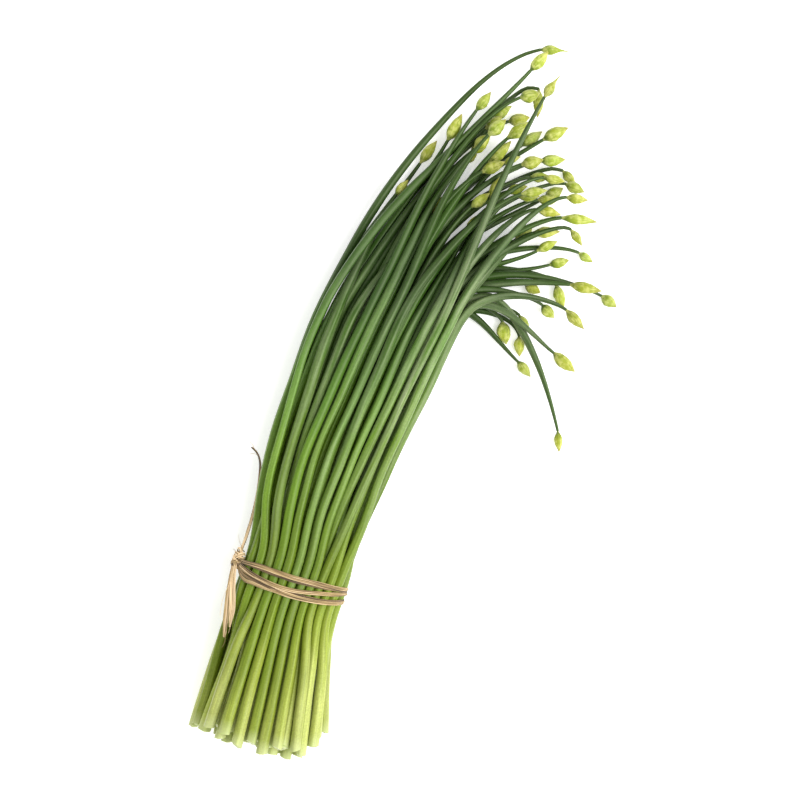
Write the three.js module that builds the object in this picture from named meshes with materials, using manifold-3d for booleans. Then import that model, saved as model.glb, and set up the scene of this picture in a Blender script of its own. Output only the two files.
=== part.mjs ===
// A bunch of flowering garlic chives, lying on a table and tied near its cut ends with raffia.
// Every flower stalk (a scape) is one grown piece: a long, tapering, leafless stem that ends in a closed,
// beaked bud. The stalks run side by side through the tie, flare at their cut ends, and arch over to one side
// at their heads.
//
// Frame, in millimetres: +Z is up and the table is z = 0. The origin is the middle of the tie's flat
// underside. +Y runs along the stalks from the cut ends to the heads, which arch over towards +X.

import * as THREE from 'three';
import { mergeVertices } from 'three/addons/utils/BufferGeometryUtils.js';
import Module from 'manifold-3d';

// Driving dimensions of the stalks
const BUTT_LENGTH = 73; // from the tie to the cut ends
const BUTT_LEAN = 4; // how far the cut ends as a whole lie to the right of the tie
const BUTT_SPREAD = { left: 2, right: 14 }; // how much further to the right the outermost ones lie
const BUTT_FLARE = 3; // how far the highest and the lowest cut ends part from the middle ones
const BUTT_SHORTER = { by: 12, from: 17, to: 39 }; // how much shorter they are cut at the right, between two x
const CUT_DISH = 0.5; // how deep the cut ends are hollow
const STALK_RADIUS = { butt: 2.4, tie: 1.95, middle: 1.8, shoulder: 1.6, neck: 0.85 };
const BUD = { length: 11, radius: 3.05, widest: 0.42 };
const CLEARANCE = 0.35; // between any two stalks

// Driving dimensions of the tie: the oval that the raffia closes round, and the raffia itself
const TIE_INSIDE = { halfWidth: 23.7, halfHeight: 14.2 };
const RAFFIA = { thickness: 0.8, upperTurn: 2.2, lowerTurn: 3.2 };
const TIE_HEIGHT = TIE_INSIDE.halfHeight + RAFFIA.thickness; // of the tie's middle above the table
const STRAIGHT_IN_TIE = 11; // the stalks are straight this far on each side of the tie
const TIE_MIDDLE = -3; // along the bunch, half way between the two turns of raffia

// The outermost stalks half way to the shoulder, and at the shoulder, where they start to part and arch over
const MIDDLE = { left: [-28.6, 50], right: [23.8, 50] };
const SHOULDER = { left: [-28.4, 100], right: [34.0, 128], lowest: 2.4, layerStep: 3.9 };
const HEAD_LAYER = { lowest: 3.4, step: 2.4 }; // height of the heads above the table, by layer
const HIDDEN_HEAD_BACK = 13; // how far a hidden head lies behind those on each side of it
const CROSSING_SHARE = 0.5; // of the neighbours that may cross over each other
const LEANS = { leaving: 0.1, arriving: 0.25 }; // towards the straight line to the head, at each end of the arch

// How many stalks lie in each layer, from the table up: 58 in all
const LAYERS = [4, 9, 10, 11, 11, 9, 4];
const TOP_LAYER = LAYERS.length - 1;
const FLATTENING = 0.93; // of the oval at its top and bottom, where a row of stalks still has some width

// How much one stalk differs from the next
const VARIES = {
  girth: 0.07,
  butt: { x: 1.5, y: 3, z: 1 },
  layer: 0.6, // the height of a stalk in its layer
  wander: 2, // how far a stalk strays to either side of its place in the row
  bud: { length: 0.12, radius: 0.1, rise: 0.15, height: 1 },
  hiddenHead: { x: 3, y: 4, heading: 12, smallest: 0.8, largest: 1 },
};

// The heads that show, in their order round the fan from the left edge to the ones that hang lowest on the
// right: where the bud starts, x and y, which way it points in degrees clockwise from +Y, its stalk's layer,
// its size, and its height in layers where it doesn't stay in its stalk's.
const HEADS = [
  // The two longest, and the heads along the left edge
  [31.0, 250.5, 72, 3, 0.8], [29.5, 240.0, 24, 4, 1.0], [-9.5, 171.0, 20, 5, 0.9], [-4.0, 187.0, 18, 2, 1.0],
  [4.5, 199.5, 12, 4, 1.1], [12.5, 216.0, 20, 6, 1.0, 5], [13.0, 194.0, 22, 1, 0.8], [20.5, 215.5, 28, 3, 1.0],
  // The dense top of the fan
  [20.5, 207.0, 30, 6, 1.0, 7], [24.5, 196.0, 32, 5, 1.2], [28.5, 227.0, 60, 4, 0.9], [27.0, 217.0, 62, 2, 0.9],
  [28.5, 208.5, 40, 5, 1.1], [37.0, 234.0, 165, 3, 1.0], [43.0, 213.0, 45, 2, 1.15], [38.0, 200.0, 60, 4, 1.0],
  [36.0, 208.0, 40, 1, 0.9], [34.5, 187.0, 60, 3, 0.8], [46.5, 205.0, 70, 3, 1.1], [42.0, 195.5, 68, 2, 0.9],
  // Long ones that run straight up on the right, over the stalks that arch away under them
  [26.0, 165.0, 12, 5, 0.65], [38.5, 230.0, 15, 5, 0.95, 8], [41.5, 187.0, 62, 6, 1.15, 5],
  [50.0, 198.0, 80, 4, 0.85], [60.0, 191.5, 78, 4, 0.95, 7],
  // The right-hand fringe
  [57.0, 204.0, 120, 1, 0.8], [59.0, 198.5, 95, 3, 0.8], [53.0, 190.5, 45, 2, 0.9], [62.0, 184.0, 78, 3, 1.35],
  [68.0, 180.2, 125, 3, 0.8], [51.0, 173.5, 72, 3, 1.1], [47.0, 169.0, 35, 2, 0.8],
  [75.4, 172.2, 108, 1, 0.75], [55.0, 166.0, 45, 2, 0.95], [65.0, 163.5, 55, 1, 0.8],
  [73.5, 158.0, 88, 2, 1.15], [88.0, 157.0, 104, 1, 0.7],
  // The heads that hang lowest
  [57.0, 152.5, 102, 1, 0.7], [71.0, 155.0, 148, 0, 0.95], [76.0, 146.5, 120, 3, 1.0],
  [66.0, 145.0, 118, 2, 0.8], [75.0, 127.5, 112, 2, 1.1], [57.0, 132.0, 135, 0, 0.9],
  [63.0, 119.5, 125, 1, 0.75], [88.0, 97.0, 155, 1, 0.75],
].map(([x, y, heading, layer, size, level = layer]) => ({ x, y, heading, layer, size, level }));

// How finely a stalk is made
const STALK_SIDES = 6;
const RINGS_TO_SHOULDER = 4; // between the tie and the shoulder
const RINGS_TO_HEAD = 10; // between the shoulder and the bud
const RINGS_OF_BUD = [[0.13, 0.64], [BUD.widest, 1], [0.68, 0.8], [0.88, 0.3]]; // share of length, of radius

const COLOURS = { stalk: 0x5d8a35, raffia: 0xb08a5a };

// The same random draws on every run
function seededRandom(seed) {
  let state = seed;
  return () => {
    state = (state + 0x6d2b79f5) | 0;
    let t = Math.imul(state ^ (state >>> 15), 1 | state);
    t = (t + Math.imul(t ^ (t >>> 7), 61 | t)) ^ t;
    return ((t ^ (t >>> 14)) >>> 0) / 4294967296;
  };
}
const SEED = 20;
const random = seededRandom(SEED);
const jitter = (amount) => (random() * 2 - 1) * amount;
const clamp01 = (v) => Math.min(1, Math.max(0, v));
const mix = THREE.MathUtils.lerp;

// Where each stalk passes through the tie: rows of an oval, each with its place across (-1 to 1) and its
// layer. Every other row is moved by half a stalk, so that its stalks lie over the gaps of the row below.
function placesInTie() {
  const places = [];
  LAYERS.forEach((count, layer) => {
    const up = (2 * layer) / TOP_LAYER - 1;
    const rowHalfWidth = Math.sqrt(1 - Math.min(FLATTENING, up * up));
    const offset = layer % 2 === 0 ? 0 : 0.5;
    for (let order = 0; order < count; order++) {
      const across = (2 * (order + offset)) / (count - 0.5) - 1;
      places.push({ layer, up, across: across * rowHalfWidth, order });
    }
  });
  return places;
}

// A shorter stalk's head, which hides a little behind the two that it lies between
function hiddenHead(layer, before, after) {
  const x = (before.x + after.x) / 2;
  const y = (before.y + after.y) / 2;
  const away = Math.atan2(x, y - SHOULDER.left[1]);
  const varies = VARIES.hiddenHead;
  return {
    layer,
    level: layer,
    x: x - HIDDEN_HEAD_BACK * Math.sin(away) + jitter(varies.x),
    y: y - HIDDEN_HEAD_BACK * Math.cos(away) + jitter(varies.y),
    heading: (before.heading + after.heading) / 2 + jitter(varies.heading),
    size: mix(varies.smallest, varies.largest, random()),
  };
}

// Heads for one layer, in the order of its stalks: the heads that show are spread over the row, and each stalk
// between two of them has a hidden one. Some neighbours cross over each other on their way up.
function headsOfLayer(layer, count) {
  const shown = HEADS.filter((head) => head.layer === layer);
  const slots = new Array(count).fill(null);
  shown.forEach((head, i) => {
    slots[Math.round((i * (count - 1)) / (shown.length - 1))] = head;
  });
  const row = slots.map((head, i) => {
    if (head) return head;
    const before = slots.slice(0, i).reverse().find((slot) => slot);
    const after = slots.slice(i + 1).find((slot) => slot);
    return hiddenHead(layer, before, after);
  });
  for (let i = 1; i < row.length - 2; i += 2) {
    if (random() < CROSSING_SHARE) [row[i], row[i + 1]] = [row[i + 1], row[i]];
  }
  return row;
}

const headingVector = (degrees, rise = 0) => {
  const angle = THREE.MathUtils.degToRad(degrees);
  return new THREE.Vector3(Math.sin(angle), Math.cos(angle), rise).normalize();
};

const directionFrom = (from, to) => to.clone().sub(from).normalize();
const turned = (direction, towards, share) => direction.clone().addScaledVector(towards, share).normalize();

// A smooth bend from one point and direction to another. The further it turns at its start, the wider it
// swings there, and the further it turns at its end, the tighter the hook in which it ends. Both are shares of
// the straight distance, and the turns are in radians.
const SWING = { least: 0.32, more: 0.13 };
const HOOK = { most: 0.3, less: 0.15, upTo: 1.4 };
function bend(from, fromDirection, to, toDirection) {
  const chord = to.clone().sub(from);
  const length = chord.length();
  const firstTurn = fromDirection.angleTo(chord);
  const lastTurn = toDirection.angleTo(chord);
  const swing = length * (SWING.least + SWING.more * firstTurn * firstTurn);
  const hook = length * (HOOK.most - HOOK.less * Math.min(lastTurn, HOOK.upTo));
  return new THREE.CubicBezierCurve3(
    from,
    from.clone().addScaledVector(fromDirection, swing),
    to.clone().addScaledVector(toDirection, -hook),
    to,
  );
}

// The point that lies `across` (-1 to 1) of the way between a left and a right place
const between = (place, across, z) => new THREE.Vector3(
  mix(place.left[0], place.right[0], (across + 1) / 2),
  mix(place.left[1], place.right[1], (across + 1) / 2),
  z,
);

// The points that a stalk runs through from its cut end to its shoulder
function lowerPoints({ across, up, layer }) {
  const room = STALK_RADIUS.tie + CLEARANCE;
  const tie = new THREE.Vector3(
    across * (TIE_INSIDE.halfWidth - room),
    TIE_MIDDLE,
    TIE_HEIGHT + up * (TIE_INSIDE.halfHeight - room),
  );
  const spread = across > 0 ? BUTT_SPREAD.right : BUTT_SPREAD.left;
  const buttX = tie.x + BUTT_LEAN + spread * across * across + jitter(VARIES.butt.x);
  const shorter = BUTT_SHORTER.by * THREE.MathUtils.smoothstep(buttX, BUTT_SHORTER.from, BUTT_SHORTER.to);
  const butt = new THREE.Vector3(
    buttX,
    -BUTT_LENGTH + shorter + jitter(VARIES.butt.y),
    tie.z + BUTT_FLARE * up + jitter(VARIES.butt.z),
  );
  const wander = VARIES.wander * (1 - across * across); // the outermost stalks keep the bunch's outline
  const middle = between(MIDDLE, across, tie.z + jitter(VARIES.layer));
  middle.x += jitter(wander);
  const height = SHOULDER.lowest + SHOULDER.layerStep * layer;
  const shoulder = between(SHOULDER, across, height + jitter(VARIES.layer));
  shoulder.x += jitter(wander);
  return { butt, tie, middle, shoulder };
}

// Where a bud starts and ends, and its radius
function budOf(head) {
  const { bud } = VARIES;
  const length = BUD.length * head.size * (1 + jitter(bud.length));
  const radius = BUD.radius * Math.sqrt(head.size) * (1 + jitter(bud.radius));
  const height = HEAD_LAYER.lowest + HEAD_LAYER.step * head.level + jitter(bud.height);
  const neck = new THREE.Vector3(head.x, head.y, height);
  const direction = headingVector(head.heading, jitter(bud.rise));
  return { radius, neck, direction, tip: neck.clone().addScaledVector(direction, length) };
}

// The radius of a stalk along its arch, from 0 at the shoulder to 1 at the bud
const THINS_FROM = 0.55;
const radiusInArch = (share) => (share < THINS_FROM
  ? mix(STALK_RADIUS.middle, STALK_RADIUS.shoulder, share / THINS_FROM)
  : mix(STALK_RADIUS.shoulder, STALK_RADIUS.neck, (share - THINS_FROM) / (1 - THINS_FROM)));

// The route that one stalk would take by itself, as the points its rings will stand on, with a radius at
// each: the cut end, one ring between it and the tie, one on each side of the tie, then up to the shoulder,
// round the arch to the neck, and the widest part and the tip of the bud.
const BETWEEN_BUTT_AND_TIE = 0.17; // shares of the lower part
const PAST_THE_TIE = 0.39;
const CROWDING = 1.4; // the rings stand closer together towards the head, where the arch bends most
const TIP_ROOM = 0.4; // that other stalks leave round the tip of a bud, as a share of its radius
function routeOf(place, head) {
  const girth = 1 + jitter(VARIES.girth);
  const girthAtHead = Math.sqrt(head.size); // a small head sits on a slender stem
  const { butt, tie, middle, shoulder } = lowerPoints(place);
  const bud = budOf(head);
  const lowerPart = new THREE.CatmullRomCurve3([butt, tie, middle, shoulder], false, 'centripetal');
  const through = directionFrom(butt, middle);
  const towardsHead = directionFrom(shoulder, bud.neck);
  const leaving = turned(directionFrom(middle, shoulder), towardsHead, LEANS.leaving);
  const arrival = turned(bud.direction, towardsHead, LEANS.arriving);
  const arch = bend(shoulder, leaving, bud.neck, arrival);

  const nodes = [];
  const addNode = (point, radius) => nodes.push({ point: point.clone(), radius: radius * girth });
  addNode(butt, STALK_RADIUS.butt);
  addNode(lowerPart.getPoint(BETWEEN_BUTT_AND_TIE), (STALK_RADIUS.butt + STALK_RADIUS.tie) / 2);
  addNode(tie.clone().addScaledVector(through, -STRAIGHT_IN_TIE), STALK_RADIUS.tie);
  addNode(tie.clone().addScaledVector(through, STRAIGHT_IN_TIE), STALK_RADIUS.tie);
  for (let i = 1; i <= RINGS_TO_SHOULDER; i++) {
    const share = i / RINGS_TO_SHOULDER;
    const point = lowerPart.getPoint(mix(PAST_THE_TIE, 1, share));
    addNode(point, mix(STALK_RADIUS.tie, STALK_RADIUS.middle, share));
  }
  for (let i = 1; i < RINGS_TO_HEAD; i++) {
    const share = 1 - (1 - i / RINGS_TO_HEAD) ** CROWDING;
    addNode(arch.getPointAt(share), radiusInArch(share) * mix(1, girthAtHead, share));
  }
  addNode(bud.neck, STALK_RADIUS.neck * girthAtHead);
  nodes.push({ point: bud.neck.clone().lerp(bud.tip, BUD.widest), radius: bud.radius });
  nodes.push({ point: bud.tip, radius: bud.radius * TIP_ROOM });
  return nodes;
}

// How many nodes a stalk has in its cut end, up to and including the last one before the tie, and in its bud
const BUTT_NODES = 2;
const NODES_BEFORE_TIE = 3;
const BUD_NODES = 2;

// The raffia's free ends, which the stalks have to stay clear of: points from the knot outwards, the width of
// the strip at its start, middle and tip, and half the room that it needs. The lower end has split along its
// fibres into two.
const toPoints = (rows) => rows.map((row) => new THREE.Vector3(...row));
const TAILS = [
  {
    points: toPoints([
      [-25.4, -1, 16], [-24.8, -7, 19.2], [-23.0, -14, 21.8], [-21.2, -20.5, 22.8], [-19.8, -27.5, 22.6],
    ]),
    width: [1.8, 4.2, 0.9],
    room: 1.6,
  },
  {
    points: toPoints([
      [-25.6, -5, 17.6], [-24.8, -13, 20.0], [-23.8, -20, 20.9], [-22.0, -27, 20.9], [-20.6, -33.5, 20],
    ]),
    width: [1.4, 3.4, 1.6],
    room: 1.2,
  },
  {
    points: toPoints([
      [-25.6, 2, 14.6], [-25.2, 12, 10.8], [-26.2, 25, 8.6], [-27.8, 36, 8.2], [-29.6, 42.5, 9.4],
      [-32.0, 46, 11.4], [-35.6, 48, 13.4],
    ]),
    width: [1.1, 1.3, 0.8],
    room: 0.7,
  },
];

// How the stalks come to rest, in rounds of small moves
const ROUNDS = 3600;
const ROUNDS_WITH_BEND = 0.8 * ROUNDS; // in the last ones the stalks only move apart
const NEAR = { distance: 7, everyRounds: 8 }; // which stretches of stalk may touch is looked at this often
const PULL_HOME = { ends: 0.08, stalk: 0.025, height: 0.01 }; // how strongly a stalk is drawn to its route
const WEIGHT = 0.03; // how far a stalk sinks in one round
const EASING = { from: 0.2, to: 0.7 }; // the shares of the rounds between which the pull and the weight fade
const STIFFNESS = { stalk: 0.25, bud: 0.6, neighbours: 0.4 };
const GAP = { tie: 0.12, table: 0.02 };

// Remembers where each node of a chain starts, and how far it stands off the line between its neighbours
function rememberShape({ nodes }) {
  for (const node of nodes) node.home = node.point.clone();
  for (let i = 1; i < nodes.length - 1; i++) {
    const [before, node, after] = [nodes[i - 1], nodes[i], nodes[i + 1]];
    const whole = before.point.distanceTo(node.point) + node.point.distanceTo(after.point);
    node.share = before.point.distanceTo(node.point) / whole;
    node.bow = node.point.clone().sub(before.point.clone().lerp(after.point, node.share));
  }
}

// The stretches between the nodes of a chain
const stretchesOf = (chain) => chain.nodes.slice(1).map((b, i) => {
  const a = chain.nodes[i];
  return { chain, a, b, length: a.point.distanceTo(b.point) };
});

// Vectors that the rounds use again and again
const step = new THREE.Vector3();
const rest = new THREE.Vector3();
const firstRun = new THREE.Vector3();
const secondRun = new THREE.Vector3();

function keepBend({ nodes }) {
  for (let i = 1; i < nodes.length - 1; i++) {
    const stiffness = i === nodes.length - BUD_NODES ? STIFFNESS.bud : STIFFNESS.stalk;
    rest.lerpVectors(nodes[i - 1].point, nodes[i + 1].point, nodes[i].share).add(nodes[i].bow);
    step.subVectors(rest, nodes[i].point).multiplyScalar(stiffness);
    nodes[i].point.add(step);
    nodes[i - 1].point.addScaledVector(step, -STIFFNESS.neighbours);
    nodes[i + 1].point.addScaledVector(step, -STIFFNESS.neighbours);
  }
}

function keepLength({ a, b, length }) {
  step.subVectors(b.point, a.point);
  const now = step.length();
  step.multiplyScalar((0.5 * (now - length)) / now);
  a.point.add(step);
  b.point.sub(step);
}

function pullHome({ nodes }, ease) {
  nodes.forEach((node, i) => {
    const isEnd = i < BUTT_NODES || i >= nodes.length - BUD_NODES - 1;
    const pull = (isEnd ? PULL_HOME.ends : PULL_HOME.stalk) * ease;
    node.point.x += (node.home.x - node.point.x) * pull;
    node.point.y += (node.home.y - node.point.y) * pull;
    node.point.z += (node.home.z - node.point.z) * PULL_HOME.height * ease - WEIGHT * ease;
  });
}

function stayInTie(node) {
  const room = node.radius + CLEARANCE + GAP.tie;
  const dx = node.point.x / (TIE_INSIDE.halfWidth - room);
  const dz = (node.point.z - TIE_HEIGHT) / (TIE_INSIDE.halfHeight - room);
  const out = Math.hypot(dx, dz);
  if (out > 1) {
    node.point.x /= out;
    node.point.z = TIE_HEIGHT + (node.point.z - TIE_HEIGHT) / out;
  }
  node.point.y = node.home.y;
}

// Whether the spans from s1 to s2 and from t1 to t2 touch, or nearly do
const spansAreNear = (s1, s2, t1, t2) => Math.min(s1, s2) - NEAR.distance <= Math.max(t1, t2)
  && Math.min(t1, t2) - NEAR.distance <= Math.max(s1, s2);

const areNear = (s, t) => spansAreNear(s.a.point.y, s.b.point.y, t.a.point.y, t.b.point.y)
  && spansAreNear(s.a.point.x, s.b.point.x, t.a.point.x, t.b.point.x)
  && spansAreNear(s.a.point.z, s.b.point.z, t.a.point.z, t.b.point.z);

// The pairs of stretches of different chains that lie near each other, of which one at least can move
function nearPairs(stretches) {
  const pairs = [];
  stretches.forEach((s, i) => {
    for (let j = i + 1; j < stretches.length; j++) {
      const t = stretches[j];
      const canMove = s.chain.free + t.chain.free > 0;
      if (canMove && s.chain !== t.chain && areNear(s, t)) pairs.push([s, t]);
    }
  });
  return pairs;
}

// Moves two stretches apart where they are closer than their radii allow, and says by how much they were too
// close. `along` and `other` are the shares of the two at which they come nearest to each other.
function keepApart([s, t]) {
  firstRun.subVectors(s.b.point, s.a.point);
  secondRun.subVectors(t.b.point, t.a.point);
  step.subVectors(s.a.point, t.a.point);
  const firstSquared = firstRun.dot(firstRun);
  const secondSquared = secondRun.dot(secondRun);
  const both = firstRun.dot(secondRun);
  const firstOff = firstRun.dot(step);
  const secondOff = secondRun.dot(step);
  const denominator = firstSquared * secondSquared - both * both;
  const parallel = denominator < 1e-9;
  let along = parallel ? 0.5 : clamp01((both * secondOff - firstOff * secondSquared) / denominator);
  let other = (both * along + secondOff) / secondSquared;
  if (other < 0 || other > 1) {
    other = clamp01(other);
    along = clamp01((both * other - firstOff) / firstSquared);
  }
  step.addScaledVector(firstRun, along).addScaledVector(secondRun, -other);
  const distance = step.length();
  const radii = mix(s.a.radius, s.b.radius, along) + mix(t.a.radius, t.b.radius, other);
  const missing = radii + CLEARANCE - distance;
  if (missing <= 0 || distance < 1e-6) return 0;
  const { free } = s.chain;
  const otherFree = t.chain.free;
  const weight = free * (along ** 2 + (1 - along) ** 2) + otherFree * (other ** 2 + (1 - other) ** 2);
  step.multiplyScalar(missing / distance / weight);
  s.a.point.addScaledVector(step, free * (1 - along));
  s.b.point.addScaledVector(step, free * along);
  t.a.point.addScaledVector(step, -otherFree * (1 - other));
  t.b.point.addScaledVector(step, -otherFree * other);
  return missing;
}

// Lets the stalks come to rest: each keeps its own length and its own bend, stays above the table, inside the
// tie and clear of every other stalk, and is drawn gently back to its own route. Says how close the tightest
// pair still is after the last round.
function settle(routes) {
  const stalks = routes.map((nodes) => ({ nodes, free: 1 }));
  const tails = TAILS.map(({ points, room }) => ({
    nodes: points.map((point) => ({ point: point.clone(), radius: room })),
    free: 0,
  }));
  const stretches = [...stalks, ...tails].flatMap(stretchesOf);
  const moving = stretches.filter((stretch) => stretch.chain.free);
  stalks.forEach(rememberShape);

  let pairs = [];
  let tightest = 0;
  for (let round = 0; round < ROUNDS; round++) {
    const ease = clamp01((EASING.to - round / ROUNDS) / (EASING.to - EASING.from));
    if (round % NEAR.everyRounds === 0) pairs = nearPairs(stretches);
    for (const stalk of stalks) {
      pullHome(stalk, ease);
      if (round < ROUNDS_WITH_BEND) keepBend(stalk);
    }
    moving.forEach(keepLength);
    tightest = 0;
    for (const pair of pairs) tightest = Math.max(tightest, keepApart(pair));
    for (const { nodes } of stalks) {
      stayInTie(nodes[NODES_BEFORE_TIE - 1]);
      stayInTie(nodes[NODES_BEFORE_TIE]);
      for (const node of nodes) node.point.z = Math.max(node.point.z, node.radius + GAP.table);
    }
  }
  return tightest;
}

// A closed surface through a row of rings, each a list of points. A row with two poles ends in them, and a row
// without them closes on itself.
function loft(rings, poles) {
  const sides = rings[0].length;
  const positions = rings.flat().flatMap((point) => point.toArray());
  const index = [];
  const last = poles ? rings.length - 1 : rings.length;
  for (let i = 0; i < last; i++) {
    const next = (i + 1) % rings.length;
    for (let j = 0; j < sides; j++) {
      const k = (j + 1) % sides;
      index.push(i * sides + j, next * sides + k, i * sides + k);
      index.push(i * sides + j, next * sides + j, next * sides + k);
    }
  }
  if (poles) {
    const first = positions.length / 3;
    positions.push(...poles[0].toArray(), ...poles[1].toArray());
    const end = (rings.length - 1) * sides;
    for (let j = 0; j < sides; j++) {
      const k = (j + 1) % sides;
      index.push(first, j, k, first + 1, end + k, end + j);
    }
  }
  const geometry = new THREE.BufferGeometry();
  geometry.setAttribute('position', new THREE.Float32BufferAttribute(positions, 3));
  geometry.setIndex(index);
  return geometry;
}

// The corners of a regular ring round a centre, across the direction of travel, with one corner straight up
const UP = new THREE.Vector3(0, 0, 1);
function ringAt(centre, direction, radius) {
  const side = new THREE.Vector3().crossVectors(direction, UP).normalize();
  const top = new THREE.Vector3().crossVectors(side, direction).normalize();
  return Array.from({ length: STALK_SIDES }, (_, i) => {
    const angle = (2 * Math.PI * i) / STALK_SIDES + Math.PI / 2;
    return centre.clone()
      .addScaledVector(side, radius * Math.cos(angle))
      .addScaledVector(top, radius * Math.sin(angle));
  });
}

// One stalk with its bud: a ring at each node, more on the bud's swelling, a dished cut end and a pointed beak
function stalkGeometry(nodes) {
  const stemNodes = nodes.slice(0, -BUD_NODES);
  const [belly, tip] = nodes.slice(-BUD_NODES);
  const rings = stemNodes.map((node, i) => {
    const before = nodes[Math.max(0, i - 1)].point;
    const after = nodes[i + 1].point;
    return ringAt(node.point, after.clone().sub(before).normalize(), node.radius);
  });
  const neck = stemNodes[stemNodes.length - 1].point;
  const axis = tip.point.clone().sub(neck);
  const direction = axis.clone().normalize();
  for (const [share, fullness] of RINGS_OF_BUD) {
    rings.push(ringAt(neck.clone().addScaledVector(axis, share), direction, belly.radius * fullness));
  }
  const [butt, next] = nodes;
  const inward = next.point.clone().sub(butt.point).normalize();
  return loft(rings, [butt.point.clone().addScaledVector(inward, CUT_DISH), tip.point]);
}

// A strip of raffia along a row of points. `across` is the direction of its width, and `widthAt` gives the
// width for each share of its length. A closed strip is a ring, and an open one ends in two blunt points.
const BLUNT_POINT = 0.3;
function strip(points, across, widthAt, closed = false) {
  const count = points.length;
  const rings = points.map((point, i) => {
    const before = closed ? points[(i + count - 1) % count] : points[Math.max(0, i - 1)];
    const after = closed ? points[(i + 1) % count] : points[Math.min(count - 1, i + 1)];
    const along = after.clone().sub(before).normalize();
    const flat = across.clone().addScaledVector(along, -across.dot(along)).normalize();
    const face = new THREE.Vector3().crossVectors(flat, along).normalize();
    const halfWidth = widthAt(i / (count - 1)) / 2;
    return [[-1, -1], [1, -1], [1, 1], [-1, 1]].map(([a, b]) => point.clone()
      .addScaledVector(flat, a * halfWidth)
      .addScaledVector(face, (b * RAFFIA.thickness) / 2));
  });
  if (closed) return loft(rings, null);
  const [second, lastButOne] = [points[1], points[count - 2]];
  const start = points[0].clone().addScaledVector(directionFrom(points[0], second), -BLUNT_POINT);
  const last = points[count - 1];
  const end = last.clone().addScaledVector(directionFrom(lastButOne, last), BLUNT_POINT);
  return loft(rings, [start, end]);
}

// One turn of raffia round the bunch. `yAt` says how far along the bunch it lies at each angle, which is 0 at
// the right, and half a turn at the knot on the left. The lowest of its straight stretches lies flat on the
// table.
const TURN_STEPS = 28;
function turnOfRaffia(yAt, width) {
  const halfWidth = TIE_INSIDE.halfWidth + RAFFIA.thickness / 2;
  const corner = Math.cos(Math.PI / TURN_STEPS); // brings the middle of the lowest stretch down to the table
  const halfHeight = (TIE_HEIGHT - RAFFIA.thickness / 2) / corner;
  const points = Array.from({ length: TURN_STEPS }, (_, i) => {
    const angle = (2 * Math.PI * (i + 0.5)) / TURN_STEPS;
    const z = TIE_HEIGHT + halfHeight * Math.sin(angle);
    return new THREE.Vector3(halfWidth * Math.cos(angle), yAt(angle), z);
  });
  const alongBunch = new THREE.Vector3(0, 1, 0);
  return strip(points, alongBunch, () => width, true);
}

const wasm = await Module();
wasm.setup();

function toSolid(geometry) {
  const bare = new THREE.BufferGeometry();
  bare.setAttribute('position', geometry.getAttribute('position').clone());
  bare.setIndex(geometry.index.clone());
  const merged = mergeVertices(bare, 1e-4);
  return new wasm.Manifold(new wasm.Mesh({
    numProp: 3,
    vertProperties: merged.attributes.position.array,
    triVerts: new Uint32Array(merged.index.array),
  }));
}

function toGeometry(solid) {
  const mesh = solid.getMesh();
  const geometry = new THREE.BufferGeometry();
  geometry.setAttribute('position', new THREE.BufferAttribute(new Float32Array(mesh.vertProperties), 3));
  geometry.setIndex(new THREE.BufferAttribute(new Uint32Array(mesh.triVerts), 1));
  return geometry;
}

// The knot on the left: a small lump, a strand wrapped over it, and the little ear that was pulled through.
// Each has its middle as x, y and its height over the tie's.
const KNOT = {
  lump: { at: [-25.3, 0.6, 0.4], radii: [1.8, 2.6, 2.8], sides: 8, rows: 6 },
  wrap: { at: [-25.6, -0.4, 0.6], radius: 2.5, thickness: 0.7, turn: Math.PI / 2.6 },
  ear: { at: [-25.2, 3.0, 2.2], radius: 1.7, thickness: 0.65, tilt: -0.5 },
  loopSides: 5,
  loopSteps: 9,
};
const putOnKnot = (geometry, [x, y, up]) => geometry.translate(x, y, TIE_HEIGHT + up);
const knotLoop = ({ radius, thickness }) => (
  new THREE.TorusGeometry(radius, thickness, KNOT.loopSides, KNOT.loopSteps));
function knotGeometries() {
  const { lump, wrap, ear } = KNOT;
  return [
    putOnKnot(new THREE.SphereGeometry(1, lump.sides, lump.rows).scale(...lump.radii), lump.at),
    putOnKnot(knotLoop(wrap).rotateY(wrap.turn), wrap.at),
    putOnKnot(knotLoop(ear).rotateX(ear.tilt), ear.at),
  ];
}

// A free end is widest half way. It lies on the rounded top left of the bunch, so its width runs over that.
const OVER_TOP_LEFT = new THREE.Vector3(0.84, 0, 0.54);
function tailGeometry({ points, width: [start, middle, tip] }) {
  const widthAt = (share) => (share < 0.5 ? mix(start, middle, 2 * share) : mix(middle, tip, 2 * share - 1));
  return strip(points, OVER_TOP_LEFT, widthAt);
}

// The tie is one length of raffia: two turns round the bunch, which meet at the knot, and its free ends. The
// upper turn dips a little over the middle of the bunch, and the lower one rises to the knot near it. Both lie
// further up the bunch at the right.
const UPPER_TURN = { y: 1.0, slant: 0.6, dip: 0.9 };
const LOWER_TURN = { y: -4.4, slant: 1.1, rise: 3.2, riseWidth: 0.4 };
function tieGeometry() {
  const nearKnot = (angle) => Math.exp(-(((angle - Math.PI) / LOWER_TURN.riseWidth) ** 2));
  const upperY = (angle) => (
    UPPER_TURN.y + UPPER_TURN.slant * Math.cos(angle) - UPPER_TURN.dip * Math.sin(angle) ** 2);
  const lowerY = (angle) => (
    LOWER_TURN.y + LOWER_TURN.slant * Math.cos(angle) + LOWER_TURN.rise * nearKnot(angle));
  const turns = [turnOfRaffia(upperY, RAFFIA.upperTurn), turnOfRaffia(lowerY, RAFFIA.lowerTurn)];
  const pieces = [...turns, ...knotGeometries(), ...TAILS.map(tailGeometry)].map(toSolid);
  return toGeometry(pieces.reduce((joined, piece) => joined.add(piece)));
}

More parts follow.
